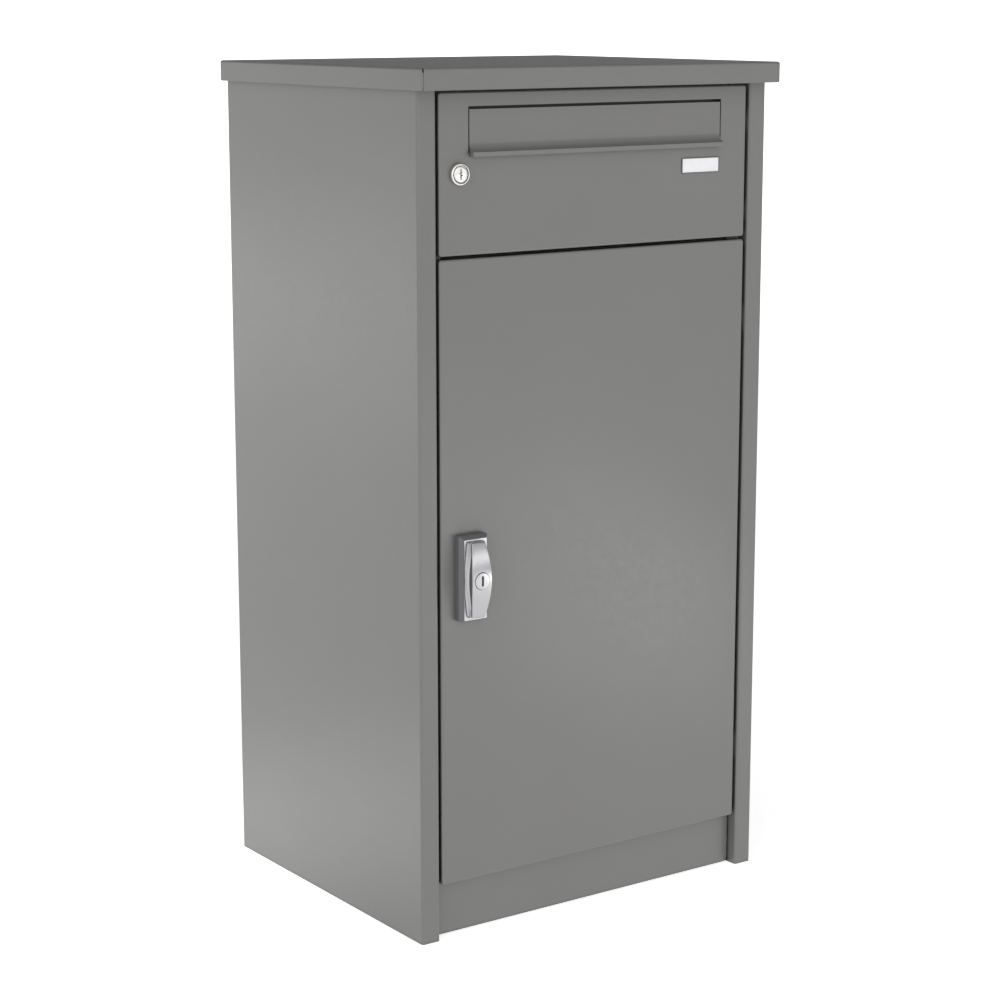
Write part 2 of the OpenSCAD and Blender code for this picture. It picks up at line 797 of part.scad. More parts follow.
module handle_face_plate() {
  rim = 3.7;
  low_rim = 1.3;
  w = housing_w - 2 * rim;
  z0 = housing_rise - housing_h / 2 + low_rim;
  z1 = housing_rise + housing_h / 2 - rim;
  hole_r = 6.5;
  color(chrome) at_handle() difference() {
    box([-w / 2, -housing_out, z0], [w / 2, -housing_out + face_t, z1]);
    round_y(hole_r, -housing_out - cut, -housing_out + cut);
  }
}

module handle_nut() {
  flats = 27;
  color(zinc) at_handle() difference() {
    hexagon_y(flats, sheet, sheet + nut_t);
    round_y(boss_r + play, sheet - cut, sheet + nut_t + cut);
  }
}

// Radius of an arc that rises by sagitta over half its chord.
function arc_r(half_chord, sagitta) = (half_chord * half_chord + sagitta * sagitta) / (2 * sagitta);

// Leaf-shaped outline in X and Z that is wide at its middle, between two flat ends.
module leaf_outline(widths, length) {
  half = grip_l / 2;
  rise = (widths[0] - widths[1]) / 2;
  r = arc_r(half, rise);
  intersection() {
    translate([-widths[0], -length / 2]) square([2 * widths[0], length]);
    translate([widths[0] / 2 - r, 0]) circle(r = r, $fn = arc_steps);
    translate([r - widths[0] / 2, 0]) circle(r = r, $fn = arc_steps);
  }
}

// Arched face of the grip in Y and Z, from its front back to the given Y.
module grip_side(front, back) {
  rise = grip_out - grip_end_out;
  r = arc_r(grip_l / 2, rise);
  intersection() {
    translate([front + r, 0]) circle(r = r, $fn = arc_steps);
    translate([front, -grip_l / 2 - cut]) square([back - front, grip_l + 2 * cut]);
  }
}

// Turning grip: a flared foot on the housing, a narrow waist and an arched bar. The waist starts
// and ends inside the other two.
module handle_grip() {
  foot_gap = 0.3;
  foot_y = -housing_out - foot_gap;
  foot_t = 2;
  foot_w = [28, 15];                // widths at the middle and at the ends
  waist_w = [20, 10.5];
  waist_l = grip_l - 1;
  bar_t = 5;
  color(chrome) at_handle() difference() {
    union() {
      along_y(foot_y - foot_t, foot_y) leaf_outline(foot_w, grip_l);
      intersection() {
        along_y(-grip_out, foot_y - foot_t / 2) leaf_outline(waist_w, waist_l);
        along_x(-grip_w, grip_w) grip_side(-grip_out + bar_t / 2, foot_y);
      }
      intersection() {
        along_y(-grip_out - cut, foot_y - foot_t / 2) leaf_outline([grip_w, grip_end_w], grip_l);
        along_x(-grip_w, grip_w) difference() {
          grip_side(-grip_out, foot_y);
          grip_side(-grip_out + bar_t, foot_y + cut);
        }
      }
    }
    round_y(cylinder_d / 2 + play, -grip_out - cut, -grip_out + seat);
    round_y(spindle_r + play, -grip_out + socket, foot_y + cut);
  }
}

module key_cylinder() {
  keyway = [2.6, 3, 11];            // width, depth and height
  front = -grip_out - 0.6;
  end_gap = 0.1;
  color(chrome) at_handle() difference() {
    round_y(cylinder_d / 2, front, -grip_out + seat - end_gap);
    box([-keyway[0] / 2, front - cut, -keyway[2] / 2], [keyway[0] / 2, front + keyway[1], keyway[2] / 2]);
  }
}

module handle_spindle() {
  end_gap = 0.2;
  round_end = driver_y - 3;
  color(zinc) at_handle() {
    round_y(spindle_r, -grip_out + socket + end_gap, round_end);
    box([-spindle_square / 2, round_end - cut, -spindle_square / 2],
      [spindle_square / 2, driver_y + driver_t, spindle_square / 2]);
  }
}

// Disc on the spindle's tail with two crank pins, each an eighth of a turn below its middle stroke.
module rod_driver() {
  pin_at = crank_r / sqrt(2);
  rim = 4;
  hole = spindle_square + 2 * play;
  color(zinc) at_handle() difference() {
    union() {
      round_y(crank_r + rim, driver_y, driver_y + driver_t);
      for (side = [-1, 1]) translate([side * pin_at, 0, side * pin_at])
        round_y(pin_r, driver_y + driver_t - cut, rods_y + yoke_t / 2 + cut);
    }
    box([-hole / 2, driver_y - cut, -hole / 2], [hole / 2, driver_y + driver_t + cut, hole / 2]);
  }
}

module driver_screw() {
  head_r = 3;
  head_t = 2.5;
  color(chrome) at_handle() round_y(head_r, driver_y + driver_t, driver_y + driver_t + head_t);
}

// Locking rod, drawn for the upper one: a round bar and a yoke whose slot takes a crank pin.
// The slot leaves room for the pin's path, which isn't quite proportional to the handle's turn.
module locking_rod(length) {
  pin_at = crank_r / sqrt(2);
  slot_play = 0.5;
  slot_past = 0.4;
  slot = [pin_at - pin_r - slot_past, crank_r + pin_r + slot_past];
  wall = 2.5;
  arm = [bar_r, crank_r + pin_r + wall];
  yoke_low = 16;
  yoke_top = 28;
  yoke_root = 18;
  tip = 3;
  tip_r = 2.5;
  color(zinc) translate([0, rods_y, 0]) {
    difference() {
      union() {
        box([-arm[1], -yoke_t / 2, -pin_at - 2 * wall], [-arm[0], yoke_t / 2, yoke_top]);
        box([-arm[1], -yoke_t / 2, yoke_low], [bar_r, yoke_t / 2, yoke_top]);
      }
      box([-slot[1], -yoke_t, -pin_at - pin_r - slot_play], [-slot[0], yoke_t, -pin_at + pin_r + slot_play]);
    }
    translate([0, 0, yoke_root]) cylinder(r = bar_r, h = length - yoke_root - tip);
    translate([0, 0, length - tip]) cylinder(r1 = bar_r, r2 = tip_r, h = tip);
  }
}

module upper_locking_rod() {
  at_handle() locking_rod(upper_tip - handle_z);
}

module lower_locking_rod() {
  at_handle() rotate([0, 180, 0]) locking_rod(handle_z - lower_tip);
}

// Block on the door's inner face that a locking rod slides through.
module rod_guide(z) {
  guide_w = 16;
  guide_h = 10;
  wall = 2;
  color(nylon) translate([-handle_x, door_y, z]) difference() {
    box([-guide_w / 2, sheet, -guide_h / 2], [guide_w / 2, rods_y + bar_r + wall, guide_h / 2]);
    translate([0, rods_y, -guide_h / 2 - cut]) cylinder(r = bar_r + 2 * play, h = guide_h + 2 * cut);
  }
}

left_side_panel();
right_side_panel();
back_panel();
lid();
lid_nuts();
floor_plate();
plinth();
floor_support_left();
floor_support_right();
parcel_floor();
partition_shelf();
top_rail();
back_panel_rivets();
hinge_screws();
door_buffers();
frame_leaf(0);  // parcel_lower_frame_leaf
frame_leaf(1);  // parcel_upper_frame_leaf
frame_leaf(2);  // mail_lower_frame_leaf
frame_leaf(3);  // mail_upper_frame_leaf
hinge_pin(0);  // parcel_lower_hinge_pin
hinge_pin(1);  // parcel_upper_hinge_pin
hinge_pin(2);  // mail_lower_hinge_pin
hinge_pin(3);  // mail_upper_hinge_pin
mail_door_panel();
door_leaf(2);  // mail_lower_door_leaf
door_leaf(3);  // mail_upper_door_leaf
flap_frame();
flap_hinge_rod();
name_plate_frame();
name_card();
name_window();
mail_lock_housing();
mail_lock_nut();
letter_flap();
mail_lock_plug();
mail_lock_cam();
mail_lock_screw();
parcel_door_panel();
door_stiffener();
door_leaf(0);  // parcel_lower_door_leaf
door_leaf(1);  // parcel_upper_door_leaf
handle_housing();
handle_face_plate();
handle_nut();
rod_guide(guide_z[1]);  // upper_rod_guide
rod_guide(guide_z[0]);  // lower_rod_guide
handle_grip();
handle_spindle();
rod_driver();
driver_screw();
key_cylinder();
upper_locking_rod();
lower_locking_rod();
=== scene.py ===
"""Looks of a parcel drop box: a powder-coated steel cabinet with a mail door above a parcel door.

Metres, in the CAD model's frame: +Z up, the doors face -Y, +X to the right of someone facing them.
"""
import json
import math

import bmesh
import bpy
from mathutils import Matrix, Vector


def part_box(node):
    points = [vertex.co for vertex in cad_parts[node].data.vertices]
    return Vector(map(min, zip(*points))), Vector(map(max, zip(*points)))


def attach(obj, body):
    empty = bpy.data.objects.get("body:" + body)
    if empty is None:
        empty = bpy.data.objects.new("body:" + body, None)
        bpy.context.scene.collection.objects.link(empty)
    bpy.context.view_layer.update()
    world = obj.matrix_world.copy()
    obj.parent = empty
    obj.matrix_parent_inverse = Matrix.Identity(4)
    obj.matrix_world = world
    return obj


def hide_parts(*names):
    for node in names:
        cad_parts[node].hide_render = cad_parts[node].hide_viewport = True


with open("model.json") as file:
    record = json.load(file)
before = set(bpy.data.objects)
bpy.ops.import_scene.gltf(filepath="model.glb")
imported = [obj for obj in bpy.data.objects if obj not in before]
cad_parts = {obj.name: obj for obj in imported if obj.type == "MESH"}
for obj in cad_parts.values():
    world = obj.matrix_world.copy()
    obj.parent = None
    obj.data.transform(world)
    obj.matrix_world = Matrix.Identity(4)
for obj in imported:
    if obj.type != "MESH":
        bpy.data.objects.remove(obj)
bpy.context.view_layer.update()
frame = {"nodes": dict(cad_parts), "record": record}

MM = 0.001
CUT = 1 * MM  # how far a cutting shape runs past what it cuts
SHEET = 1.5 * MM  # thickness of the folded steel
BEND = 3 * MM  # outside radius of a bend
ARC_STEPS = 10  # straight pieces in a quarter turn of a bend
ROUND_STEPS = 96  # sides of a turned piece
HOLE_STEPS = 48  # sides of a hole
SMALL_STEPS = 24  # sides of a screw's or rivet's hole
SAME_POINT = 1e-7  # points closer than this are one
EDGE = 0.25 * MM  # rounding of a cut edge
SHARP = 35  # degrees; a sharper corner is rounded, a flatter one is shaded smooth
AXES = {"X": (1, 2, 0), "Y": (0, 2, 1), "Z": (0, 1, 2)}


# ---------------------------------------------------------------- mesh helpers


def new_object(name, verts, faces):
    """A mesh object with its normals pointing outwards."""
    mesh = bpy.data.meshes.new(name)
    mesh.from_pydata([tuple(v) for v in verts], [], faces)
    work = bmesh.new()
    work.from_mesh(mesh)
    bmesh.ops.remove_doubles(work, verts=work.verts, dist=SAME_POINT)
    bmesh.ops.recalc_face_normals(work, faces=work.faces)
    work.to_mesh(mesh)
    work.free()
    obj = bpy.data.objects.new(name, mesh)
    bpy.context.scene.collection.objects.link(obj)
    return obj


def extrude(name, outline, axis, low, high):
    """A closed outline drawn in the other two axes, in their X, Y, Z order, drawn out along one axis."""
    a, b, c = AXES[axis]
    verts = []
    for level in (low, high):
        for u, v in outline:
            point = [0.0, 0.0, 0.0]
            point[a], point[b], point[c] = u, v, level
            verts.append(point)
    n = len(outline)
    faces = [list(range(n)), list(range(n, 2 * n))]
    faces += [[i, (i + 1) % n, n + (i + 1) % n, n + i] for i in range(n)]
    return new_object(name, verts, faces)


def block(name, low, high):
    """A box between two corners."""
    outline = [(low[0], low[1]), (high[0], low[1]), (high[0], high[1]), (low[0], high[1])]
    return extrude(name, outline, "Z", low[2], high[2])


def lathe(name, profile, centre, axis="Y", steps=ROUND_STEPS):
    """A profile of (radius, position along the axis) pairs turned about an axis through centre."""
    a, b, c = AXES[axis]
    verts, rings = [], []
    for radius, along in profile:
        ring = []
        for k in range(steps if radius > SAME_POINT else 1):
            angle = 2 * math.pi * k / steps
            point = list(centre)
            point[a] += radius * math.cos(angle)
            point[b] += radius * math.sin(angle)
            point[c] += along
            ring.append(len(verts))
            verts.append(point)
        rings.append(ring)
    is_ring = profile[0][0] > SAME_POINT
    following = rings[1:] + (rings[:1] if is_ring else [])
    faces = []
    for one, two in zip(rings, following):
        for k in range(steps):
            here, there = k, k + 1
            face = [one[here % len(one)], one[there % len(one)], two[there % len(two)], two[here % len(two)]]
            face = list(dict.fromkeys(face))
            if len(face) > 2:
                faces.append(face)
    return new_object(name, verts, faces)


def arc(centre, radius, start, end, steps=ARC_STEPS):
    """Points of an arc between two angles in degrees."""
    points = []
    for k in range(steps + 1):
        angle = math.radians(start + (end - start) * k / steps)
        points.append((centre[0] + radius * math.cos(angle), centre[1] + radius * math.sin(angle)))
    return points


def fold_outline(corners, thickness=SHEET, radius=BEND):
    """Cross-section of a folded sheet whose middle line runs through the corners."""
    middle = radius - thickness / 2
    path = [Vector(c) for c in corners]
    left, right = [], []

    def offset(point, direction):
        normal = Vector((-direction.y, direction.x)) * thickness / 2
        left.append(point + normal)
        right.append(point - normal)

    for i, point in enumerate(path):
        before = (point - path[i - 1]).normalized() if i else None
        after = (path[i + 1] - point).normalized() if i < len(path) - 1 else None
        if before is None or after is None:
            offset(point, after or before)
            continue
        turn = math.atan2(before.cross(after), before.dot(after))
        side = math.copysign(1, turn)
        start = point - before * middle * math.tan(abs(turn) / 2)
        centre = start + Vector((-before.y, before.x)) * side * middle
        for k in range(ARC_STEPS + 1):
            part = Matrix.Rotation(turn * k / ARC_STEPS, 2)
            offset(centre + part @ (start - centre), part @ before)
    return [tuple(p) for p in left + right[::-1]]


def rounded_rectangle(half_w, half_h, radius, steps=6):
    """Points of a rectangle with rounded corners, centred on the origin."""
    points = []
    for k, (x, y) in enumerate([(1, 1), (-1, 1), (-1, -1), (1, -1)]):
        centre = (x * (half_w - radius), y * (half_h - radius))
        points += arc(centre, radius, 90 * k, 90 * k + 90, steps)
    return points


def loft(name, loops):
    """Joins loops of points, all of one length, and closes the first and the last."""
    n = len(loops[0])
    verts = [p for loop in loops for p in loop]
    faces = [list(range(n)), list(range((len(loops) - 1) * n, len(loops) * n))]
    for k in range(len(loops) - 1):
        one, two = k * n, (k + 1) * n
        faces += [[one + i, one + (i + 1) % n, two + (i + 1) % n, two + i] for i in range(n)]
    return new_object(name, verts, faces)


def tray(name, low, high, face, radius, corner=0.6 * MM):
    """Sheet folded back on four sides. face is "-Y", "+Z" or "-Z", the way the closed side looks."""
    axis, sign = face[1], 1 if face[0] == "+" else -1
    a, b, c = AXES[axis]
    half = ((high[a] - low[a]) / 2, (high[b] - low[b]) / 2)
    middle = ((high[a] + low[a]) / 2, (high[b] + low[b]) / 2)
    depth = high[c] - low[c]
    front = high[c] if sign > 0 else low[c]
    inner = radius - SHEET
    quarter = [math.radians(90 * k / ARC_STEPS) for k in range(ARC_STEPS + 1)]
    stations = [(radius - radius * math.sin(t), radius - radius * math.cos(t)) for t in quarter]
    stations += [(0, depth), (SHEET, depth)]
    stations += [(radius - inner * math.sin(t), radius - inner * math.cos(t)) for t in quarter[::-1]]
    loops = []
    for inset, back in stations:
        rounding = max(corner + radius - inset, 0.1 * MM)
        loop = []
        for u, v in rounded_rectangle(half[0] - inset, half[1] - inset, rounding):
            point = [0.0, 0.0, 0.0]
            point[a], point[b], point[c] = middle[0] + u, middle[1] + v, front - sign * back
            loop.append(point)
        loops.append(loop)
    return loft(name, loops)


def combine(obj, others, operation):
    """Cuts the others from obj, or adds them to it, and removes them."""
    for other in others:
        modifier = obj.modifiers.new("combine", "BOOLEAN")
        modifier.operation = operation
        modifier.solver = "EXACT"
        modifier.object = other
    depsgraph = bpy.context.evaluated_depsgraph_get()
    mesh = bpy.data.meshes.new_from_object(obj.evaluated_get(depsgraph))
    obj.modifiers.clear()
    obj.data = mesh
    for other in others:
        bpy.data.objects.remove(other)
    return obj


def cut(obj, *others):
    return combine(obj, others, "DIFFERENCE")


def add(obj, *others):
    return combine(obj, others, "UNION")


def merged(name, parts):
    """Several separate solids as one object."""
    work = bmesh.new()
    for part in parts:
        work.from_mesh(part.data)
        bpy.data.objects.remove(part)
    mesh = bpy.data.meshes.new(name)
    work.to_mesh(mesh)
    work.free()
    obj = bpy.data.objects.new(name, mesh)
    bpy.context.scene.collection.objects.link(obj)
    return obj


def soften(obj, width):
    """Rounds the sharp edges and shades the rest smooth."""
    obj.data.polygons.foreach_set("use_smooth", [True] * len(obj.data.polygons))
    obj.data.set_sharp_from_angle(angle=math.radians(SHARP))
    if width:
        bevel = obj.modifiers.new("edges", "BEVEL")
        bevel.width = width
        bevel.segments = 2
        bevel.limit_method = "ANGLE"
        bevel.angle_limit = math.radians(SHARP)
        bevel.use_clamp_overlap = True
        normals = obj.modifiers.new("normals", "WEIGHTED_NORMAL")
        normals.keep_sharp = True


def place(obj, material, body, slot, nodes=(), edge=EDGE):
    """Gives a piece its finish and its body, and hides the CAD nodes it stands for."""
    obj.data.materials.clear()
    obj.data.materials.append(material)
    soften(obj, edge)
    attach(obj, body)
    if nodes:
        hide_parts(*nodes)
    return obj


# ---------------------------------------------------------------- materials


class Shader:
    """A node material on object coordinates, built one node at a time."""

    def __init__(self, name):
        self.material = bpy.data.materials.new(name)
        self.material.use_nodes = True
        self.tree = self.material.node_tree
        self.bsdf = self.tree.nodes["Principled BSDF"]
        self.coords = self.node("ShaderNodeTexCoord").outputs["Object"]

    def node(self, kind, inputs=None, **settings):
        made = self.tree.nodes.new(kind)
        for key, value in settings.items():
            setattr(made, key, value)
        for key, value in (inputs or {}).items():
            if isinstance(value, bpy.types.NodeSocket):
                self.tree.links.new(value, made.inputs[key])
            else:
                made.inputs[key].default_value = value
        return made

    def set(self, **values):
        """Constant values on the shader's own sockets, by name with _ for a space."""
        for key, value in values.items():
            self.bsdf.inputs[key.replace("_", " ")].default_value = value

    def feed(self, socket, value):
        self.tree.links.new(value, self.bsdf.inputs[socket])

    def stretched(self, scale):
        return self.node("ShaderNodeMapping", {"Vector": self.coords, "Scale": scale}).outputs["Vector"]

    def noise(self, scale, detail=2.0, vector=None, roughness=0.5):
        inputs = {"Vector": vector or self.coords, "Scale": scale, "Detail": detail, "Roughness": roughness}
        return self.node("ShaderNodeTexNoise", inputs).outputs["Fac"]

    def ramp(self, value, low, high, from_low=0.0, from_high=1.0):
        inputs = {"Value": value, "From Min": from_low, "From Max": from_high, "To Min": low, "To Max": high}
        return self.node("ShaderNodeMapRange", inputs).outputs["Result"]

    def math(self, operation, one, two):
        return self.node("ShaderNodeMath", {0: one, 1: two}, operation=operation).outputs[0]

    def mix(self, factor, one, two):
        inputs = {"Factor": factor, 6: one, 7: two}
        return self.node("ShaderNodeMix", inputs, data_type="RGBA").outputs[2]

    def bump(self, height, distance, strength=1.0, normal=None):
        inputs = {"Height": height, "Distance": distance, "Strength": strength}
        if normal is not None:
            inputs["Normal"] = normal
        return self.node("ShaderNodeBump", inputs).outputs["Normal"]

    def edges(self, radius):
        """0 on a flat, towards 1 at an edge, from how far the rounded normal leans from the true one."""
        rounded = self.node("ShaderNodeBevel", {"Radius": radius}, samples=4).outputs["Normal"]
        true = self.node("ShaderNodeNewGeometry").outputs["Normal"]
        dot = self.node("ShaderNodeVectorMath", {0: rounded, 1: true}, operation="DOT_PRODUCT")
        return self.ramp(dot.outputs["Value"], 1.0, 0.0, 0.75, 1.0)

    def painted_gap_shade(self, distance, dark=0.12, clear=0.5):
        """1 in the open, towards 0 deep in a narrow gap, where the colour is darkened as painted shade."""
        open_sky = self.node("ShaderNodeAmbientOcclusion", {"Distance": distance}, samples=6).outputs["AO"]
        return self.ramp(open_sky, 0.0, 1.0, dark, clear)


def tint(color, factor):
    return tuple(min(1.0, c * factor) for c in color[:3]) + (1.0,)


def powder_coat(name, color):
    """Baked powder paint: fine orange peel, a slightly uneven gloss and edges rubbed a little lighter."""
    s = Shader(name)
    cloud = s.noise(7.0, 3.0)
    speck = s.noise(1400.0, 1.0)
    tone = s.mix(cloud, tint(color, 0.955), tint(color, 1.045))
    tone = s.mix(s.ramp(speck, 0.0, 0.10, 0.55, 0.75), tone, tint(color, 1.6))
    wear = s.math("MULTIPLY", s.edges(0.9 * MM), s.ramp(s.noise(90.0, 4.0), 0.1, 0.45, 0.35, 0.7))
    tone = s.mix(wear, tone, tint(color, 1.7))
    # Painted shade: the paint's colour goes towards black deep in narrow gaps and crevices.
    s.feed("Base Color", s.mix(s.painted_gap_shade(9 * MM, 0.24, 0.56), tint(color, 0.01), tone))
    gloss = s.ramp(s.noise(260.0, 2.0), 0.28, 0.37, 0.3, 0.7)
    s.feed("Roughness", s.math("SUBTRACT", gloss, s.math("MULTIPLY", wear, 0.12)))
    peel = s.bump(s.noise(620.0, 1.0), 0.06 * MM, 0.35)
    s.feed("Normal", s.bump(s.noise(2600.0, 2.0), 0.02 * MM, 0.35, peel))
    s.set(IOR=1.6)
    return s.material


def metal(name, color, roughness, grain=(1.0, 1.0, 1.0), grain_scale=2500.0, depth=0.006, stain=0.04):
    """Bare or plated metal: fine directional grain, faint staining and brighter edges."""
    s = Shader(name)
    lines = s.noise(grain_scale, 3.0, s.stretched(grain), 0.6)
    cloud = s.noise(40.0, 4.0)
    wear = s.math("MULTIPLY", s.edges(0.5 * MM), 0.5)
    tone = s.mix(cloud, tint(color, 1 - stain), tint(color, 1 + stain))
    tone = s.mix(wear, tone, tint(color, 1.15))
    # Painted shade: the metal's colour goes towards black in tight crevices and where parts meet.
    s.feed("Base Color", s.mix(s.painted_gap_shade(1.6 * MM, 0.2, 0.75), tint(color, 0.05), tone))
    brushed = s.ramp(lines, roughness - 0.03, roughness + 0.04)
    s.feed("Roughness", s.math("ADD", s.ramp(cloud, -0.02, 0.02, 0.3, 0.7), brushed))
    s.feed("Normal", s.bump(lines, depth * MM, 0.5))
    s.set(Metallic=1.0)
    return s.material


def zinc_plate(name, color):
    """Zinc-plated steel: small crystals of slightly different tone and a dull bluish sheen."""
    s = Shader(name)
    cells = s.node("ShaderNodeTexVoronoi", {"Vector": s.coords, "Scale": 260.0}).outputs["Color"]
    value = s.node("ShaderNodeSeparateColor", {"Color": cells}).outputs["Red"]
    cloud = s.noise(30.0, 4.0)
    tone = s.mix(value, tint(color, 0.93), tint(color, 1.05))
    stain = tint((color[0], color[1] * 0.98, color[2] * 0.9), 0.9)
    tone = s.mix(s.ramp(cloud, 0.0, 0.35, 0.5, 0.75), tone, stain)
    s.feed("Base Color", s.mix(s.math("MULTIPLY", s.edges(0.5 * MM), 0.5), tone, tint(color, 1.2)))
    s.feed("Roughness", s.math("ADD", s.ramp(value, 0.26, 0.36), s.ramp(cloud, 0.0, 0.12)))
    s.feed("Normal", s.bump(s.noise(1500.0, 3.0), 0.008 * MM, 0.6))
    s.set(Metallic=1.0)
    return s.material


def moulded(name, color, roughness, grain_scale=1800.0, depth=0.03, specular=0.5):
    """Moulded plastic, rubber or fine-textured paint on a small part."""
    s = Shader(name)
    cloud = s.noise(55.0, 3.0)
    grain = s.noise(grain_scale, 2.0)
    wear = s.math("MULTIPLY", s.edges(0.5 * MM), 0.35)
    tone = s.mix(cloud, tint(color, 0.92), tint(color, 1.08))
    s.feed("Base Color", s.mix(wear, tone, tint(color, 1.9)))
    fine = s.ramp(grain, roughness - 0.05, roughness + 0.05)
    s.feed("Roughness", s.math("ADD", fine, s.ramp(cloud, -0.03, 0.03)))
    s.feed("Normal", s.bump(grain, depth * MM, 0.5))
    s.bsdf.inputs["Specular IOR Level"].default_value = specular
    return s.material


def paper(name, color):
    """Card with soft fibres."""
    s = Shader(name)
    fibres = s.noise(900.0, 4.0, s.stretched((1.0, 1.0, 3.0)), 0.65)
    s.feed("Base Color", s.mix(fibres, tint(color, 0.97), tint(color, 1.02)))
    s.feed("Roughness", s.ramp(fibres, 0.65, 0.85))
    s.feed("Normal", s.bump(fibres, 0.02 * MM, 0.4))
    return s.material


def clear_plastic(name):
    """Thin clear cover: mostly see-through, with a smooth gloss and faint scuffs."""
    s = Shader(name)
    scuff = s.noise(420.0, 5.0, s.stretched((1.0, 1.0, 0.2)), 0.7)
    s.feed("Base Color", s.mix(scuff, (0.93, 0.94, 0.95, 1), (0.98, 0.98, 0.99, 1)))
    s.feed("Roughness", s.ramp(scuff, 0.04, 0.14, 0.4, 0.7))
    s.feed("Normal", s.bump(s.noise(60.0, 1.0), 0.01 * MM, 0.3))
    s.set(Alpha=0.12)
    return s.material


GREY = (0.149, 0.148, 0.1435)
PAINT = powder_coat("powder_coat", GREY)
ZINC = zinc_plate("zinc_plate", (0.60, 0.61, 0.63))
STEEL = metal("bright_steel", (0.66, 0.66, 0.67), 0.2, (1.0, 1.0, 6.0))
CHROME = metal("satin_chrome", (0.46, 0.46, 0.472), 0.19, (6.0, 1.0, 1.0), 1800.0, 0.002, 0.02)
NICKEL = metal("nickel", (0.80, 0.79, 0.77), 0.16, (1.0, 1.0, 1.0), 1500.0, 0.0015, 0.015)
ANTHRACITE = moulded("anthracite", (0.115, 0.115, 0.122), 0.36, 2200.0, 0.03)
RUBBER = moulded("rubber", (0.018, 0.018, 0.018), 0.72, 900.0, 0.05, 0.3)
NYLON = moulded("nylon", (0.035, 0.035, 0.037), 0.5, 700.0, 0.04)
CARD = paper("card", (0.84, 0.84, 0.86))
CLEAR = clear_plastic("clear_plastic")
FINISHES = {
    "powder_coat": PAINT,
    "zinc_plated_steel": ZINC,
    "bright_steel": STEEL,
    "satin_chrome": CHROME,
    "nickel": NICKEL,
    "anthracite": ANTHRACITE,
    "rubber": RUBBER,
    "nylon": NYLON,
    "card": CARD,
    "clear_plastic": CLEAR,
}


# ---------------------------------------------------------------- the cabinet

SIDE_LOW, SIDE_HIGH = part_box("left_side_panel")
HALF_W = -SIDE_LOW.x
FRONT_Y, BACK_Y = SIDE_LOW.y, SIDE_HIGH.y
LID_UNDER = SIDE_HIGH.z
STOP_X = -SIDE_HIGH.x  # inner edge of the door stops
FRONT_FLANGE = 22 * MM
FLANGE = 20 * MM  # width of the rear and top flanges
POST_X = HALF_W - FRONT_FLANGE
REBATE = 16 * MM  # from the front flanges back to the door stops
STOP_Y = FRONT_Y + REBATE
TOP_FLANGE_Y = (-150 * MM, 170 * MM)
SCREW_HOLE_R = 2.1 * MM

PARCEL_LOW, PARCEL_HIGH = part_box("parcel_door_panel")
MAIL_LOW, MAIL_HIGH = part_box("mail_door_panel")
DOOR_Y = PARCEL_LOW.y
DOOR_R = 2 * MM
HINGES = ["parcel_lower", "parcel_upper", "mail_lower", "mail_upper"]


def hinge_box(name):
    """Lowest and highest corner of a hinge's frame leaf, and half the length of its middle knuckle."""
    low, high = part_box(name + "_frame_leaf")
    return low, high, (high.z - low.z) / 6


def pin_axis():
    low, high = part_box("parcel_lower_hinge_pin")
    return (low.x + high.x) / 2, (low.y + high.y) / 2


HINGE_X, HINGE_Y = pin_axis()
SCREW_DX = 4 * MM
SCREW_IN = 6 * MM


def hinge_screw_places():
    for name in HINGES:
        low, high, _ = hinge_box(name)
        for z in (low.z + SCREW_IN, high.z - SCREW_IN):
            yield HINGE_X + SCREW_DX, z


RIVET_R = 4 * MM  # of the head
RIVETS = 5  # on each side


def rivet_places():
    low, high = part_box("back_panel_rivets")
    x = high.x - RIVET_R
    lowest, span = low.z + RIVET_R, high.z - low.z - 2 * RIVET_R
    heights = [lowest + k * span / (RIVETS - 1) for k in range(RIVETS)]
    return [(side * x, z) for side in (-1, 1) for z in heights]


def round_cutter(radius, x, z, y0, y1, steps=HOLE_STEPS):
    return lathe("cutter", [(0, y0), (radius, y0), (radius, y1), (0, y1)], (x, 0, z), "Y", steps)


def side_panel(side):
    """Wall, front flange, return and door stop in one folded sheet, with its rear and top flanges."""
    half = SHEET / 2
    path = [
        (HALF_W - FLANGE, BACK_Y - half),
        (HALF_W - half, BACK_Y - half),
        (HALF_W - half, FRONT_Y + half),
        (POST_X + half, FRONT_Y + half),
        (POST_X + half, STOP_Y + half),
        (STOP_X, STOP_Y + half),
    ]
    name = "left_side_panel" if side < 0 else "right_side_panel"
    outline = fold_outline([(side * x, y) for x, y in path])
    panel = extrude("painted_" + name, outline, "Z", 0, LID_UNDER - BEND)
    lap = 30 * MM  # how far the top flange's piece runs down the wall
    top = fold_outline([
        (side * (HALF_W - half), LID_UNDER - lap),
        (side * (HALF_W - half), LID_UNDER - half),
        (side * (HALF_W - FLANGE), LID_UNDER - half),
    ])
    add(panel, extrude("top_flange", top, "Y", *TOP_FLANGE_Y))
    through = 4 * MM
    holes = [round_cutter(SCREW_HOLE_R, x, z, BACK_Y - through, BACK_Y + CUT, SMALL_STEPS)
             for x, z in rivet_places() if x * side > 0]
    if side > 0:
        window_x = HINGE_X + 4.5 * MM
        for hinge in HINGES:
            low, high, half_knuckle = hinge_box(hinge)
            middle = (low.z + high.z) / 2
            reach = half_knuckle + 1.5 * MM
            holes.append(block("window", (STOP_X - CUT, STOP_Y - CUT, middle - reach),
                               (window_x, STOP_Y + SHEET + CUT, middle + reach)))
        holes += [round_cutter(SCREW_HOLE_R, x, z, STOP_Y - CUT, STOP_Y + 2 * SHEET, SMALL_STEPS)
                  for x, z in hinge_screw_places()]
    cut(panel, *holes)
    place(panel, PAINT, "cabinet", "powder_coat", [name])


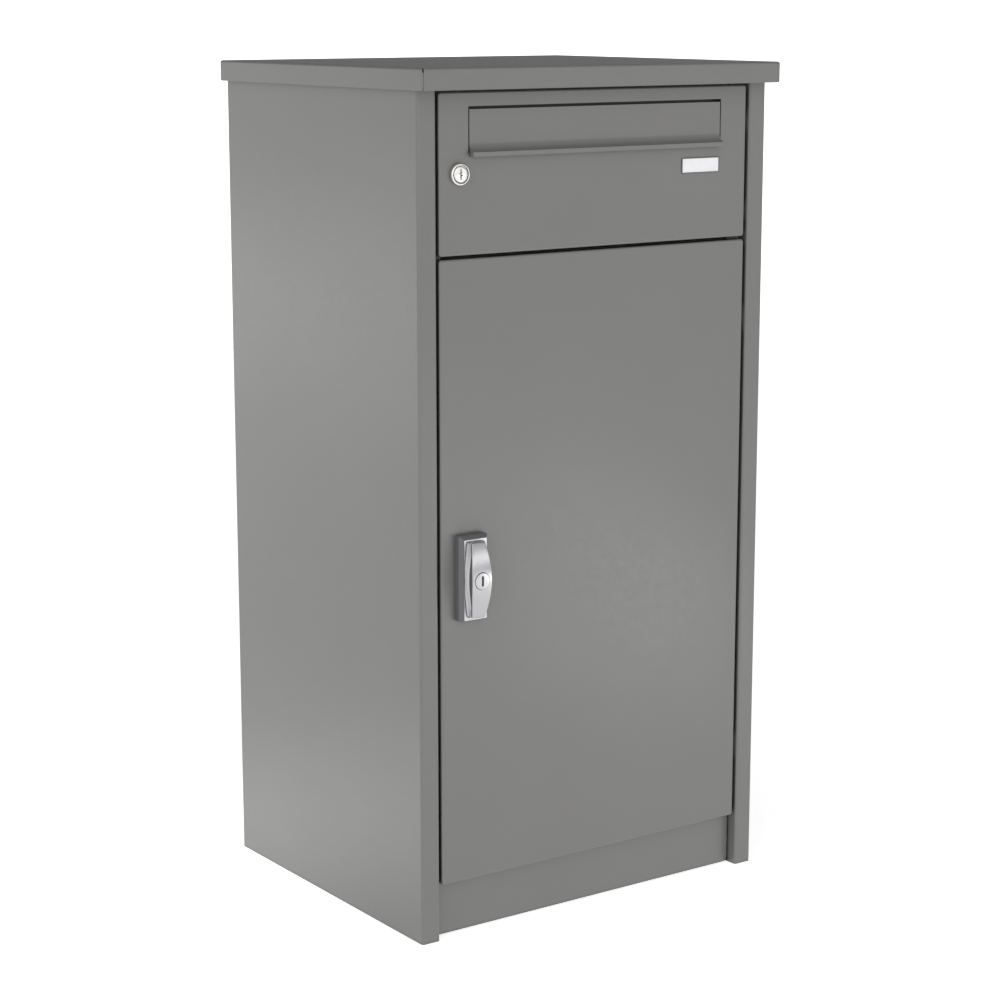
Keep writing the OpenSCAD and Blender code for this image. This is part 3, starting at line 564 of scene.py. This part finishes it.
def lid():
    """Roof tray with open corners: a seam beside each side edge, a notch and a rounded lower corner."""
    low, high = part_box("lid")
    edge = 21.8 * MM
    bottom = high.z - edge
    radius = 2.5 * MM
    notch = 4 * MM
    notch_half = 0.8 * MM
    notch_top = high.z - 0.4 * MM
    seam = 0.35 * MM
    corner_r = 4 * MM
    roof = tray("roof", (low.x, low.y, bottom), high, "+Z", radius, 0.2 * MM)
    cutters = []
    for sx in (-1, 1):
        for sy in (-1, 1):
            x = low.x if sx < 0 else high.x
            y = low.y if sy < 0 else high.y
            inner_x = x - sx * SHEET
            y0, y1 = sorted((y + sy * CUT, y - sy * (SHEET + CUT)))
            x0, x1 = sorted((inner_x, inner_x - sx * seam))
            cutters.append(block("seam", (x0, y0, bottom - CUT), (x1, y1, notch_top - notch)))
            x0, x1 = inner_x - notch_half, inner_x + notch_half
            cutters.append(block("notch", (x0, y0, notch_top - notch), (x1, y1, notch_top)))
            centre = (y - sy * corner_r, bottom + corner_r)
            start = 180 if sy < 0 else 270
            rounding = arc(centre, corner_r, start, start + 90, 12)
            far = (y + sy * CUT, bottom - CUT)
            if sy < 0:
                outline = [(far[0], centre[1]), *rounding, (centre[0], far[1]), far]
            else:
                outline = [(centre[0], far[1]), *rounding, (far[0], centre[1]), far]
            side_x = sorted((x + sx * CUT, inner_x + sx * 0.01 * MM))
            cutters.append(extrude("rounding", outline, "X", *side_x))
    cut(roof, *cutters)
    stud_r, stud_top, chamfer = 2.5 * MM, LID_UNDER + 0.5 * MM, 0.4 * MM
    stud_x = HALF_W - 12 * MM
    stud = [(0, low.z), (stud_r - chamfer, low.z), (stud_r, low.z + chamfer)]
    stud += [(stud_r, stud_top), (0, stud_top)]
    studs = [lathe("stud", stud, (sx * stud_x, y, 0), "Z", 32)
             for sx in (-1, 1) for y in (-110 * MM, 130 * MM)]
    add(roof, *studs)
    place(roof, PAINT, "cabinet", "powder_coat", ["lid"], 0.2 * MM)


def back_panel():
    low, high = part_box("back_panel")
    half = SHEET / 2
    wall_y = high.y - half
    path = [(wall_y, low.z), (wall_y, high.z - half), (low.y, high.z - half)]
    plate = extrude("rear_wall", fold_outline(path), "X", low.x, high.x)
    side = 22 * MM  # the top flange is narrower than the wall
    corners = [block("corner", (x0, low.y - CUT, high.z - BEND), (x1, high.y + CUT, high.z + CUT))
               for x0, x1 in ((low.x - CUT, low.x + side), (high.x - side, high.x + CUT))]
    wall_hole_r, wall_hole_x, wall_hole_z = 4.25 * MM, 150 * MM, (120 * MM, 680 * MM)
    holes = [round_cutter(wall_hole_r, sx * wall_hole_x, z, low.y - CUT, high.y + CUT)
             for sx in (-1, 1) for z in wall_hole_z]
    through = 4 * MM
    holes += [round_cutter(SCREW_HOLE_R, x, z, high.y - through, high.y + CUT, SMALL_STEPS)
              for x, z in rivet_places()]
    cut(plate, *corners, *holes)
    place(plate, PAINT, "cabinet", "powder_coat", ["back_panel"])


def kick_panel():
    """Set-back plinth with top and bottom flanges and cut-away lower and upper right corners."""
    low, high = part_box("plinth")
    half = SHEET / 2
    web_y = low.y + half
    section = fold_outline([(high.y, half), (web_y, half), (web_y, high.z - half), (high.y, high.z - half)])
    web = extrude("plinth_web", section, "X", low.x, high.x)
    corner = 3.5 * MM
    swing_w, swing_gap = 22 * MM, 2 * MM  # room for the parcel door's hinge corner
    y0, y1 = low.y - CUT, high.y + CUT
    flange_x = STOP_X - CUT
    cutters = []
    for sx, x in ((-1, low.x), (1, high.x)):
        triangle = [(x + sx * CUT, -CUT), (x + sx * CUT, corner + CUT), (x - sx * (corner + CUT), -CUT)]
        cutters.append(extrude("corner", triangle, "Y", y0, y1))
        flange = sorted((x + sx * CUT, sx * flange_x))
        cutters.append(block("flange_end", (flange[0], low.y + SHEET, -CUT), (flange[1], y1, high.z + CUT)))
    cutters.append(block("swing", (high.x - swing_w, y0, PARCEL_LOW.z - swing_gap),
                         (high.x + CUT, y1, high.z + CUT)))
    cut(web, *cutters)
    place(web, PAINT, "cabinet", "powder_coat", ["plinth"])


def shelves():
    """Parcel floor with its rod hole, letter compartment floor and the base tray with its anchor holes."""
    low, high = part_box("parcel_floor")
    floor = tray("parcel_compartment_floor", low, high, "+Z", BEND)
    strike, strike_front = 5.5 * MM, 4.2 * MM  # from the rod's axis to the hole's edges
    rod_low, rod_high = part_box("upper_locking_rod")
    rod_y = (rod_low.y + rod_high.y) / 2
    cut(floor, block("strike", (HANDLE_X - strike, rod_y - strike_front, high.z - SHEET - CUT),
                     (HANDLE_X + strike, rod_y + strike, high.z + CUT)))
    place(floor, PAINT, "cabinet", "powder_coat", ["parcel_floor"])
    shelf = tray("letter_compartment_floor", *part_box("partition_shelf"), "+Z", BEND)
    place(shelf, PAINT, "cabinet", "powder_coat", ["partition_shelf"])
    low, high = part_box("floor_plate")
    base = tray("base_tray", low, high, "-Z", BEND)
    anchor_r, anchor_x, anchor_y, through = 5.5 * MM, 140 * MM, 120 * MM, 4 * MM
    anchor = [(0, -CUT), (anchor_r, -CUT), (anchor_r, through), (0, through)]
    holes = [lathe("cutter", anchor, (sx * anchor_x, sy * anchor_y, 0), "Z", HOLE_STEPS)
             for sx in (-1, 1) for sy in (-1, 1)]
    cut(base, *holes)
    place(base, ZINC, "cabinet", "zinc_plated_steel", ["floor_plate"])


def angles():
    """The folded angles inside: the rail behind the mail door's top and the parcel floor's supports."""
    low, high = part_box("top_rail")
    half = SHEET / 2
    path = [(low.y + half, low.z), (low.y + half, high.z - half), (high.y, high.z - half)]
    rail = extrude("upper_rail", fold_outline(path), "X", low.x, high.x)
    place(rail, PAINT, "cabinet", "powder_coat", ["top_rail"])
    for name, side in (("floor_support_left", -1), ("floor_support_right", 1)):
        low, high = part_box(name)
        wall_x = (low.x + half) if side < 0 else (high.x - half)
        tip_x = high.x if side < 0 else low.x
        path = [(wall_x, low.z), (wall_x, high.z - half), (tip_x, high.z - half)]
        angle = extrude("angle_" + name, fold_outline(path), "Y", low.y, high.y)
        place(angle, ZINC, "cabinet", "zinc_plated_steel", [name])


def small_fixings():
    """Rivets in the back, screws in the hinges and the rubber buffers."""
    rivets()
    hinge_screws()
    door_buffers()


def rivets():
    """Domed heads with the broken pin's dimple outside and the swelled end inside."""
    low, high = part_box("back_panel_rivets")
    head, shank_r = 1.2 * MM, 2 * MM
    wall_in = high.y - head
    swell_y = low.y + head
    dimple = wall_in + 0.5 * head
    dome = [(0, dimple), (0.9 * MM, dimple), (1.0 * MM, wall_in + 0.95 * head)]
    dome += [(RIVET_R * math.sin(t), wall_in + head * math.cos(t)) for t in (0.4, 0.7, 1.0, 1.25, 1.45, 1.57)]
    dome += [(shank_r, wall_in), (shank_r, swell_y), (3 * MM, swell_y)]
    dome += [(2.7 * MM, low.y + 0.3 * MM), (1.5 * MM, low.y), (0, low.y)]
    heads = merged("blind_rivets", [lathe("rivet", dome, (x, 0, z), "Y", 40) for x, z in rivet_places()])
    place(heads, ZINC, "cabinet", "zinc_plated_steel", ["back_panel_rivets"], 0)


def hinge_screws():
    """Button heads with hexagon sockets."""
    low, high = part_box("hinge_screws")
    head_y = high.y - 2.4 * MM
    shank_r, head_r, socket_r, socket_depth = 2 * MM, 3.5 * MM, 1.25 * MM, 1.5 * MM
    screw = [(0, low.y), (1.6 * MM, low.y), (shank_r, low.y + 0.4 * MM), (shank_r, head_y), (head_r, head_y)]
    screw += [(head_r, high.y - 0.9 * MM), (3.1 * MM, high.y - 0.3 * MM), (2.4 * MM, high.y), (0, high.y)]
    corners = [math.pi * k / 3 for k in range(6)]
    parts = []
    for x, z in hinge_screw_places():
        part = lathe("screw", screw, (x, 0, z), "Y", HOLE_STEPS)
        hexagon = [(x + socket_r * math.cos(a), z + socket_r * math.sin(a)) for a in corners]
        parts.append(cut(part, extrude("socket", hexagon, "Y", high.y - socket_depth, high.y + CUT)))
    screws = merged("button_screws", parts)
    place(screws, STEEL, "cabinet", "zinc_plated_steel", ["hinge_screws"], 0.1 * MM)


def door_buffers():
    """Push-in rubber domes on the left door stop."""
    low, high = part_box("door_buffers")
    x = (low.x + high.x) / 2
    back = STOP_Y + SHEET
    dome_r, neck_r = 5 * MM, 2.3 * MM
    buffer = [(0, low.y), (2.6 * MM, low.y + 0.05 * MM), (4.0 * MM, low.y + 0.5 * MM)]
    buffer += [(4.8 * MM, low.y + 1.5 * MM), (dome_r, low.y + 3 * MM), (dome_r, STOP_Y)]
    buffer += [(neck_r, STOP_Y), (neck_r, back)]
    buffer += [(3.4 * MM, back), (3.3 * MM, back + 0.5 * MM), (2.2 * MM, high.y), (0, high.y)]
    heights = [low.z + dome_r, 640 * MM, 725 * MM, high.z - dome_r]
    buffers = merged("rubber_buffers", [lathe("buffer", buffer, (x, 0, z), "Y", HOLE_STEPS) for z in heights])
    place(buffers, RUBBER, "cabinet", "rubber", ["door_buffers"], 0)


# ---------------------------------------------------------------- the doors

FLAP_LOW, FLAP_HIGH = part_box("letter_flap")
ROD_LOW, ROD_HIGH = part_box("flap_hinge_rod")
LOCK_LOW, LOCK_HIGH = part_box("mail_lock_housing")
LOCK_X, LOCK_Z = (LOCK_LOW.x + LOCK_HIGH.x) / 2, (LOCK_LOW.z + LOCK_HIGH.z) / 2
HOUSING_LOW, HOUSING_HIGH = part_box("handle_housing")
KEY_LOW, KEY_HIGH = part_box("key_cylinder")
HANDLE_X, HANDLE_Z = (KEY_LOW.x + KEY_HIGH.x) / 2, (KEY_LOW.z + KEY_HIGH.z) / 2
SLOT_HALF = FLAP_HIGH.x + 1.3 * MM
SLOT_TOP = FLAP_HIGH.z + 3 * MM
SLOT_BOTTOM = FLAP_LOW.z + 3.6 * MM
DOOR_CORNER = 1.4 * MM  # rounding of a door's corners, seen from the front
BOSS_R = 10 * MM  # of the handle's housing, in the parcel door
BARREL_R = 9 * MM  # of the mail lock, in the mail door
LOCK_PLAY = 0.1 * MM


def hinge_notches(names):
    """Where the frame leaves' arms reach through a door's folded edge."""
    for name in names:
        low, high, half_knuckle = hinge_box(name)
        middle = (low.z + high.z) / 2
        reach = half_knuckle + 2 * MM
        notch_x = HINGE_X + 3.5 * MM
        yield block("notch", (notch_x, DOOR_Y + SHEET, middle - reach),
                    (PARCEL_HIGH.x + CUT, PARCEL_HIGH.y + CUT, middle + reach))


def doors():
    """Folded door trays with the holes for the locks and the letter slot."""
    front, through = DOOR_Y - CUT, DOOR_Y + 2 * SHEET
    door = tray("parcel_door", PARCEL_LOW, PARCEL_HIGH, "-Y", DOOR_R, DOOR_CORNER)
    hole = round_cutter(BOSS_R + LOCK_PLAY, HANDLE_X, HANDLE_Z, front, through)
    cut(door, hole, *hinge_notches(HINGES[:2]))
    place(door, PAINT, "parcel_door", "powder_coat", ["parcel_door_panel"])
    door = tray("mail_door", MAIL_LOW, MAIL_HIGH, "-Y", DOOR_R, DOOR_CORNER)
    slot = block("slot", (-SLOT_HALF, front, SLOT_BOTTOM), (SLOT_HALF, through, SLOT_TOP))
    hole = round_cutter(BARREL_R + LOCK_PLAY, LOCK_X, LOCK_Z, front, through)
    cut(door, slot, hole, *hinge_notches(HINGES[2:]))
    place(door, PAINT, "mail_door", "powder_coat", ["mail_door_panel"])


def letter_flap():
    """Extruded profile: flat face with a bead behind its top, a hollow and a lip that laps the door."""
    low, high = FLAP_LOW, FLAP_HIGH
    axis = ((ROD_LOW.y + ROD_HIGH.y) / 2, (ROD_LOW.z + ROD_HIGH.z) / 2)
    bead = axis[0] - DOOR_Y
    back = DOOR_Y + 2 * MM
    lap_y = DOOR_Y - 0.4 * MM
    lap_z = SLOT_BOTTOM + 1.3 * MM
    hollow_r = 9.5 * MM
    lip_top = low.z + 4.3 * MM
    centre = (DOOR_Y - hollow_r, lip_top + math.sqrt(hollow_r ** 2 - (low.y - DOOR_Y + hollow_r) ** 2))
    hollow_end = -math.degrees(math.acos((low.y - DOOR_Y + hollow_r) / hollow_r))
    lean = math.degrees(math.asin((back - axis[0]) / bead))
    outline = [(low.y, low.z), (lap_y, low.z), (lap_y, lap_z), (back, lap_z)]
    outline += arc(axis, bead, -90 + lean, 90 - lean, 24)
    outline += [(back, high.z), (DOOR_Y, high.z)]
    outline += arc(centre, hollow_r, 0, hollow_end, 24)
    flap = extrude("flap_profile", outline, "X", low.x, high.x)
    rod_r, x0, x1 = 1.55 * MM, low.x - CUT, high.x + CUT
    bore = lathe("bore", [(0, x0), (rod_r, x0), (rod_r, x1), (0, x1)], (0, *axis), "X", SMALL_STEPS)
    cut(flap, bore)
    place(flap, PAINT, "letter_flap", "powder_coat", ["letter_flap"], 0.35 * MM)


def name_plate():
    """Dark rim, white card and clear window."""
    low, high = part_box("name_plate_frame")
    middle = ((low.x + high.x) / 2, (low.z + high.z) / 2)
    half = ((high.x - low.x) / 2, (high.z - low.z) / 2)
    rim = 0.8 * MM

    def ring(inset, y, radius):
        points = rounded_rectangle(half[0] - inset, half[1] - inset, radius)
        return [(middle[0] + u, y, middle[1] + v) for u, v in points]

    loops = [ring(0, high.y, 0.9 * MM), ring(0, low.y + 0.25 * MM, 0.9 * MM)]
    loops += [ring(0.07 * MM, low.y + 0.07 * MM, 0.85 * MM), ring(0.25 * MM, low.y, 0.7 * MM)]
    loops.append(ring(rim - 0.15 * MM, low.y, 0.3 * MM))
    loops += [ring(rim, low.y + 0.15 * MM, 0.2 * MM), ring(rim, high.y - 0.2 * MM, 0.2 * MM)]
    place(loft("name_plate_rim", loops), ANTHRACITE, "mail_door", "anthracite", ["name_plate_frame"], 0)
    inset = 0.02 * MM
    air = 0.05 * MM  # between the card and its cover
    for node, piece, finish, slot in (("name_card", "blank_card", CARD, "card"),
                                      ("name_window", "clear_cover", CLEAR, "clear_plastic")):
        a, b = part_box(node)
        sheet = block(piece, (a.x + inset, a.y, a.z + inset), (b.x - inset, b.y - air, b.z - inset))
        place(sheet, finish, "mail_door", slot, [node], 0.05 * MM)


def mail_lock():
    """Cam lock: a chamfered ring round a groove, and a plug with a stepped keyway."""
    front, back = LOCK_LOW.y, LOCK_HIGH.y
    radius = LOCK_HIGH.x - LOCK_X
    bore, recess, recess_y = 6.1 * MM, 8.1 * MM, front + 2.6 * MM
    profile = [(bore, recess_y), (recess, recess_y), (recess, front + 1.9 * MM)]
    profile += [(8.9 * MM, front + 1.8 * MM), (9.1 * MM, front + 0.5 * MM), (9.35 * MM, front + 0.12 * MM)]
    profile += [(9.7 * MM, front), (10.1 * MM, front + 0.1 * MM), (radius - 0.3 * MM, front + 0.7 * MM)]
    profile += [(radius - 0.08 * MM, front + 1.1 * MM), (radius, front + 1.6 * MM), (radius, DOOR_Y)]
    profile += [(BARREL_R, DOOR_Y), (BARREL_R, back), (bore, back)]
    housing = lathe("cam_lock_body", profile, (LOCK_X, 0, LOCK_Z))
    flat, past = 8.2 * MM, 12 * MM
    flats = [block("flat", (x0, DOOR_Y + SHEET, LOCK_Z - past), (x1, back + CUT, LOCK_Z + past))
             for x0, x1 in ((LOCK_X - past, LOCK_X - flat), (LOCK_X + flat, LOCK_X + past))]
    cut(housing, *flats)
    place(housing, NICKEL, "mail_door", "nickel", ["mail_lock_housing"], 0.12 * MM)

    face, tail = (corner.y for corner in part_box("mail_lock_plug"))
    cam_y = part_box("mail_lock_cam")[0].y
    core, head, head_y = 6.0 * MM, 8.0 * MM, front + 2.4 * MM
    profile = [(0, face + 0.2 * MM), (2.2 * MM, face + 0.17 * MM), (6.4 * MM, face)]
    profile += [(7.2 * MM, face + 0.05 * MM), (7.8 * MM, face + 0.5 * MM), (head, face + 1.0 * MM)]
    profile += [(head, head_y), (core, head_y), (core, cam_y), (0, cam_y)]
    plug = lathe("lock_plug", profile, (LOCK_X, 0, LOCK_Z))
    square = 3.5 * MM
    add(plug, block("tail", (LOCK_X - square, cam_y - CUT, LOCK_Z - square),
                    (LOCK_X + square, tail, LOCK_Z + square)))
    steps = [(0.8, 5.2), (0.8, 2.6), (1.7, 2.6), (1.7, 1.5), (0.8, 1.5), (0.8, -0.6), (2.4, -0.6)]
    steps += [(2.4, -1.5), (0.8, -1.5), (0.8, -5.2), (-0.8, -5.2), (-0.8, -3.0), (-1.8, -3.0)]
    steps += [(-1.8, -1.9), (-0.8, -1.9), (-0.8, 0.4), (-2.2, 0.4), (-2.2, 1.3), (-0.8, 1.3), (-0.8, 5.2)]
    keyway = [(LOCK_X + x * MM, LOCK_Z + z * MM) for x, z in steps]
    cut(plug, extrude("keyway", keyway, "Y", face - CUT, face + 4 * MM))
    place(plug, NICKEL, "mail_lock", "nickel", ["mail_lock_plug"], 0.1 * MM)


# ---------------------------------------------------------------- the handle


def handle_plate():
    """Dark escutcheon with sloping edges, steeper at the bottom, and a bright face."""
    low, high = HOUSING_LOW, HOUSING_HIGH
    straight = 7 * MM
    steeper = 0.25  # the lower slope's share of the others' width
    spindle_bore, cylinder_bore = 6.05 * MM, 6.5 * MM
    front = low.y

    def ring(inset, y, radius, below=1.0):
        bottom, top = low.z + inset * below, high.z - inset
        points = rounded_rectangle((high.x - low.x) / 2 - inset, (top - bottom) / 2, radius)
        return [(HANDLE_X + u, y, (bottom + top) / 2 + v) for u, v in points]

    knee = DOOR_Y - straight
    loops = [ring(0, DOOR_Y, 1.6 * MM), ring(0, knee + 0.5 * MM, 1.6 * MM)]
    for inset, y, radius in ((0.08, knee, 1.55), (0.35, knee - 0.5 * MM, 1.5), (3.0, front + 0.35 * MM, 1.0),
                             (3.2, front + 0.08 * MM, 0.95), (3.45, front, 0.8)):
        loops.append(ring(inset * MM, y, radius * MM, steeper))
    plate = loft("escutcheon", loops)
    chamfer = 0.6 * MM
    boss = [(0, DOOR_Y - CUT), (BOSS_R, DOOR_Y - CUT), (BOSS_R, high.y - chamfer)]
    boss += [(BOSS_R - chamfer, high.y), (0, high.y)]
    add(plate, lathe("boss", boss, (HANDLE_X, 0, HANDLE_Z), "Y", 64))
    cut(plate, round_cutter(spindle_bore, HANDLE_X, HANDLE_Z, front - CUT, high.y + CUT, 64))
    place(plate, ANTHRACITE, "parcel_door", "anthracite", ["handle_housing"], 0.15 * MM)

    low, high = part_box("handle_face_plate")
    edge = 0.15 * MM
    loops = [ring(0, high.y, 1.0 * MM), ring(0, low.y + edge, 1.0 * MM), ring(edge, low.y, 0.9 * MM)]
    face = loft("escutcheon_face", loops)
    cut(face, round_cutter(cylinder_bore, HANDLE_X, HANDLE_Z, low.y - CUT, high.y + CUT, 64))
    place(face, CHROME, "parcel_door", "satin_chrome", ["handle_face_plate"], 0)


def grip_half_ring(foot_w, bar_w, top, groove):
    """Half a cross-section of the grip, as (distance from the middle, height above the foot) pairs."""
    lean = 0.39  # how far the wall slopes in per unit of height
    strip_under = top - 2.3 * MM
    wall_top = strip_under * (1 - 0.66 * groove) - 0.1 * MM
    wall = foot_w - lean * wall_top
    waist = min(wall, bar_w) - 0.8 * MM * groove - 0.1 * MM
    side = [(foot_w, 0), (foot_w, 0.5 * MM), (foot_w - 0.1 * MM, 0.9 * MM)]
    side += [(foot_w - lean * wall_top * u, wall_top * u) for u in (0.3, 0.6, 0.85)]
    for u in (0.0, 0.25, 0.5, 0.75, 1.0):
        turn = math.pi / 2 * u
        drawn = wall - (wall - waist) * math.sin(turn)
        side.append((drawn, wall_top + (strip_under - wall_top) * 0.5 * (1 - math.cos(turn))))
    side += [(waist, strip_under - 0.02 * MM), (bar_w - 0.25 * MM, strip_under + 0.05 * MM)]
    side += [(bar_w, strip_under + 0.3 * MM), (bar_w, top - 0.7 * MM)]
    side += [(bar_w - 0.2 * MM, top - 0.28 * MM), (bar_w - 0.6 * MM, top - 0.06 * MM)]
    return side + [(bar_w * 0.6, top), (bar_w * 0.25, top)]


def handle_grip():
    """Boat-shaped grip: a foot on the plate, a hollowed waist for the fingers and an arched front."""
    low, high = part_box("handle_grip")
    half_l = (high.z - low.z) / 2
    foot_y = high.y
    peak = foot_y - low.y  # height of the arch's middle above the foot
    drop = 6.3 * MM  # how much lower the arch is at its ends
    foot = (14.0 * MM, 10.4 * MM)  # half widths at the middle and at the ends
    bar = (12.0 * MM, 7.75 * MM)
    groove_l = 0.70  # the hollow's share of the length
    rounded = 0.975  # where the ends begin to round off, as a share of the half length
    stations = 61
    loops = []
    for k in range(stations):
        t = 2 * k / (stations - 1) - 1
        t = math.copysign(1 - (1 - abs(t)) ** 1.25, t)
        bulge = 1 - t * t
        foot_w = foot[1] + (foot[0] - foot[1]) * bulge
        bar_w = bar[1] + (bar[0] - bar[1]) * bulge
        top = peak - drop * abs(t) ** 1.65
        side = grip_half_ring(foot_w, bar_w, top, max(0.0, 1 - (t / groove_l) ** 2))
        past = max(0.0, abs(t) - rounded) / (1 - rounded)
        squeeze = 0.8 * MM * (1 - math.sqrt(max(0.0, 1 - past ** 2)))
        side = [(max(x - squeeze, 0.5 * MM), max(min(y, top - squeeze), 0)) for x, y in side]
        ring = side + [(-x, y) for x, y in side[::-1]]
        z = HANDLE_Z + half_l * t
        loops.append([(HANDLE_X + x, foot_y - y, z) for x, y in ring])
    grip = loft("turning_grip", loops)
    cylinder_low, cylinder_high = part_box("key_cylinder")
    bore = (cylinder_high.x - cylinder_low.x) / 2 + 0.35 * MM
    spindle_bore, spindle_y = 6.05 * MM, low.y + 7 * MM
    cut(grip,
        round_cutter(bore, HANDLE_X, HANDLE_Z, low.y - CUT, cylinder_high.y + 0.1 * MM),
        round_cutter(spindle_bore, HANDLE_X, HANDLE_Z, spindle_y, foot_y + CUT))
    place(grip, CHROME, "handle", "satin_chrome", ["handle_grip"], 0.12 * MM)


def key_cylinder():
    """Cylinder in the grip with a round-ended keyway."""
    low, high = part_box("key_cylinder")
    radius = (high.x - low.x) / 2
    profile = [(0, low.y), (radius - 0.7 * MM, low.y), (radius - 0.2 * MM, low.y + 0.2 * MM)]
    profile += [(radius, low.y + 0.6 * MM), (radius, high.y), (0, high.y)]
    cylinder = lathe("lock_cylinder", profile, (HANDLE_X, 0, HANDLE_Z))
    half_w, half_h = 1.3 * MM, 5.5 * MM
    floor_y = high.y - 1.5 * MM
    slot = arc((HANDLE_X, HANDLE_Z + half_h - half_w), half_w, 0, 180, 16)
    slot += arc((HANDLE_X, HANDLE_Z - half_h + half_w), half_w, 180, 360, 16)
    cut(cylinder, extrude("keyway", slot, "Y", low.y - CUT, floor_y))
    place(cylinder, CHROME, "key_cylinder", "satin_chrome", ["key_cylinder"], 0.12 * MM)


# ---------------------------------------------------------------- CAD nodes that stay


def keep_cad_nodes():
    """Every node that still shows gets its slot's finish, merged corners and lightly rounded edges."""
    slots = {part["node"]: part["material_slot"] for part in frame["record"]["subparts"]}
    for name, obj in frame["nodes"].items():
        if obj.hide_render:
            continue
        obj.data.materials.clear()
        obj.data.materials.append(FINISHES[slots[name]])
        weld = obj.modifiers.new("merge", "WELD")
        weld.merge_threshold = 0.005 * MM
        bevel = obj.modifiers.new("edges", "BEVEL")
        bevel.width = 0.2 * MM
        bevel.segments = 2
        bevel.limit_method = "ANGLE"
        bevel.angle_limit = math.radians(40)  # above the corners between a mesh's arc steps
        normals = obj.modifiers.new("normals", "WEIGHTED_NORMAL")
        normals.keep_sharp = False


# ---------------------------------------------------------------- studio


def studio():
    """Pale floor and low backdrop, a surround that is brightest on the front left, and soft panels."""
    studio_floor()
    surround()
    for name, (centre, facing, size, radiance) in PANELS.items():
        panel_light(name, centre, facing, size, radiance)


def studio_floor():
    """A floor that curves up into a low backdrop, both glowing a little so that they stay white, with a
    painted pool of light glowing brighter beside the left panel.
    """
    s = Shader("studio_floor")
    s.feed("Base Color", s.mix(s.noise(2.0, 2.0), (0.80, 0.80, 0.80, 1), (0.83, 0.83, 0.83, 1)))
    # Painted pool of light: the floor glows brighter near one spot beside the left panel.
    spot = s.node("ShaderNodeVectorMath", {0: s.coords, 1: PAINTED_POOL_AT}, operation="DISTANCE").outputs["Value"]
    s.feed("Emission Strength", s.ramp(spot, FLOOR_GLOW[1], FLOOR_GLOW[0], *GLOW_REACH))
    s.set(Roughness=0.9, Emission_Color=(1, 1, 1, 1))
    half, front, back, radius, height = 9.0, -8.0, 6.0, 0.9, 1.02
    path = [(front, 0.0)] + arc((back - radius, radius), radius, -90, 0, 24) + [(back, height)]
    turn = Matrix.Rotation(-CAMERA_AZIMUTH, 4, "Z")
    verts = [turn @ Vector((x, y, z)) for y, z in path for x in (-half, half)]
    faces = [[2 * k, 2 * k + 1, 2 * k + 3, 2 * k + 2] for k in range(len(path) - 1)]
    floor = new_object("studio_floor", verts, faces)
    floor.data.materials.append(s.material)
    floor.data.polygons.foreach_set("use_smooth", [True] * len(faces))


def surround():
    """Even white light whose strength grows towards one direction."""
    world = bpy.data.worlds.new("surround")
    bpy.context.scene.world = world
    world.use_nodes = True
    tree = world.node_tree
    coords = tree.nodes.new("ShaderNodeTexCoord")
    towards = tree.nodes.new("ShaderNodeVectorMath")
    towards.operation = "DOT_PRODUCT"
    towards.inputs[1].default_value = Vector(KEY_DIRECTION).normalized()
    level = tree.nodes.new("ShaderNodeMapRange")
    level.inputs["From Min"].default_value = KEY_FROM
    level.inputs["To Min"].default_value, level.inputs["To Max"].default_value = SURROUND
    tree.links.new(coords.outputs["Generated"], towards.inputs[0])
    tree.links.new(towards.outputs["Value"], level.inputs["Value"])
    tree.links.new(level.outputs["Result"], tree.nodes["Background"].inputs["Strength"])
    tree.nodes["Background"].inputs["Color"].default_value = (1, 1, 1, 1)


def panel_light(name, centre, facing, size, radiance):
    """A soft panel of a width and height that looks one way, level with the ground."""
    light = bpy.data.lights.new(name, "AREA")
    light.shape = "RECTANGLE"
    light.size, light.size_y = size
    light.energy = radiance * math.pi * size[0] * size[1]
    obj = bpy.data.objects.new(name, light)
    obj.location = centre
    obj.rotation_euler = Vector(facing).to_track_quat("-Z", "Y").to_euler()
    bpy.context.scene.collection.objects.link(obj)


FLOOR_GLOW = (0.66, 1.3)  # far away, and in the painted pool of light beside the left panel
PAINTED_POOL_AT = (-0.42, 0.26, 0)
GLOW_REACH = (0.12, 0.42)
KEY_DIRECTION = (-0.63, -0.76, 0.15)
KEY_FROM = -0.1  # cosine of the angle from KEY_DIRECTION at which the brightness starts to grow
SURROUND = (0.2, 1.38)  # brightness away from KEY_DIRECTION and towards it
PANELS = {  # centre, the way it looks, width and height, radiance
    "front_right_panel": ((0.72, -1.15, 0.13), (-0.95, -0.3, 0), (1.1, 0.22), 2.0),
    "left_back_panel": ((-1.55, 2.27, 0.36), (0.5, -0.86, 0), (2.4, 0.38), 1.25),
    "left_back_high_panel": ((-1.55, 2.27, 0.95), (0.5, -0.86, 0), (2.4, 0.42), 0.85),
    "far_right_panel": ((2.7, -3.7, 0.82), (-0.6, 0.8, 0), (3.0, 0.44), 1.6),
}
CAMERA_AT = (-1.5355, -2.1841, 0.9532)
CAMERA_AZIMUTH = math.radians(35.2513)  # from +Y towards +X
CAMERA_PITCH = math.radians(11.464)  # downwards
CAMERA_LENS = 88.34


def camera():
    """The picture's view: from the front left, a little above the lid, looking slightly down."""
    data = bpy.data.cameras.new("camera")
    data.lens = CAMERA_LENS
    data.sensor_width = 36
    obj = bpy.data.objects.new("camera", data)
    obj.location = CAMERA_AT
    obj.rotation_euler = (math.pi / 2 - CAMERA_PITCH, 0, -CAMERA_AZIMUTH)
    bpy.context.scene.collection.objects.link(obj)
    bpy.context.scene.camera = obj


camera()
for panel_side in (-1, 1):
    side_panel(panel_side)
lid()
back_panel()
kick_panel()
shelves()
angles()
small_fixings()
doors()
letter_flap()
name_plate()
mail_lock()
handle_plate()
handle_grip()
key_cylinder()
keep_cad_nodes()
studio()
bpy.context.scene.view_settings.view_transform = "Standard"
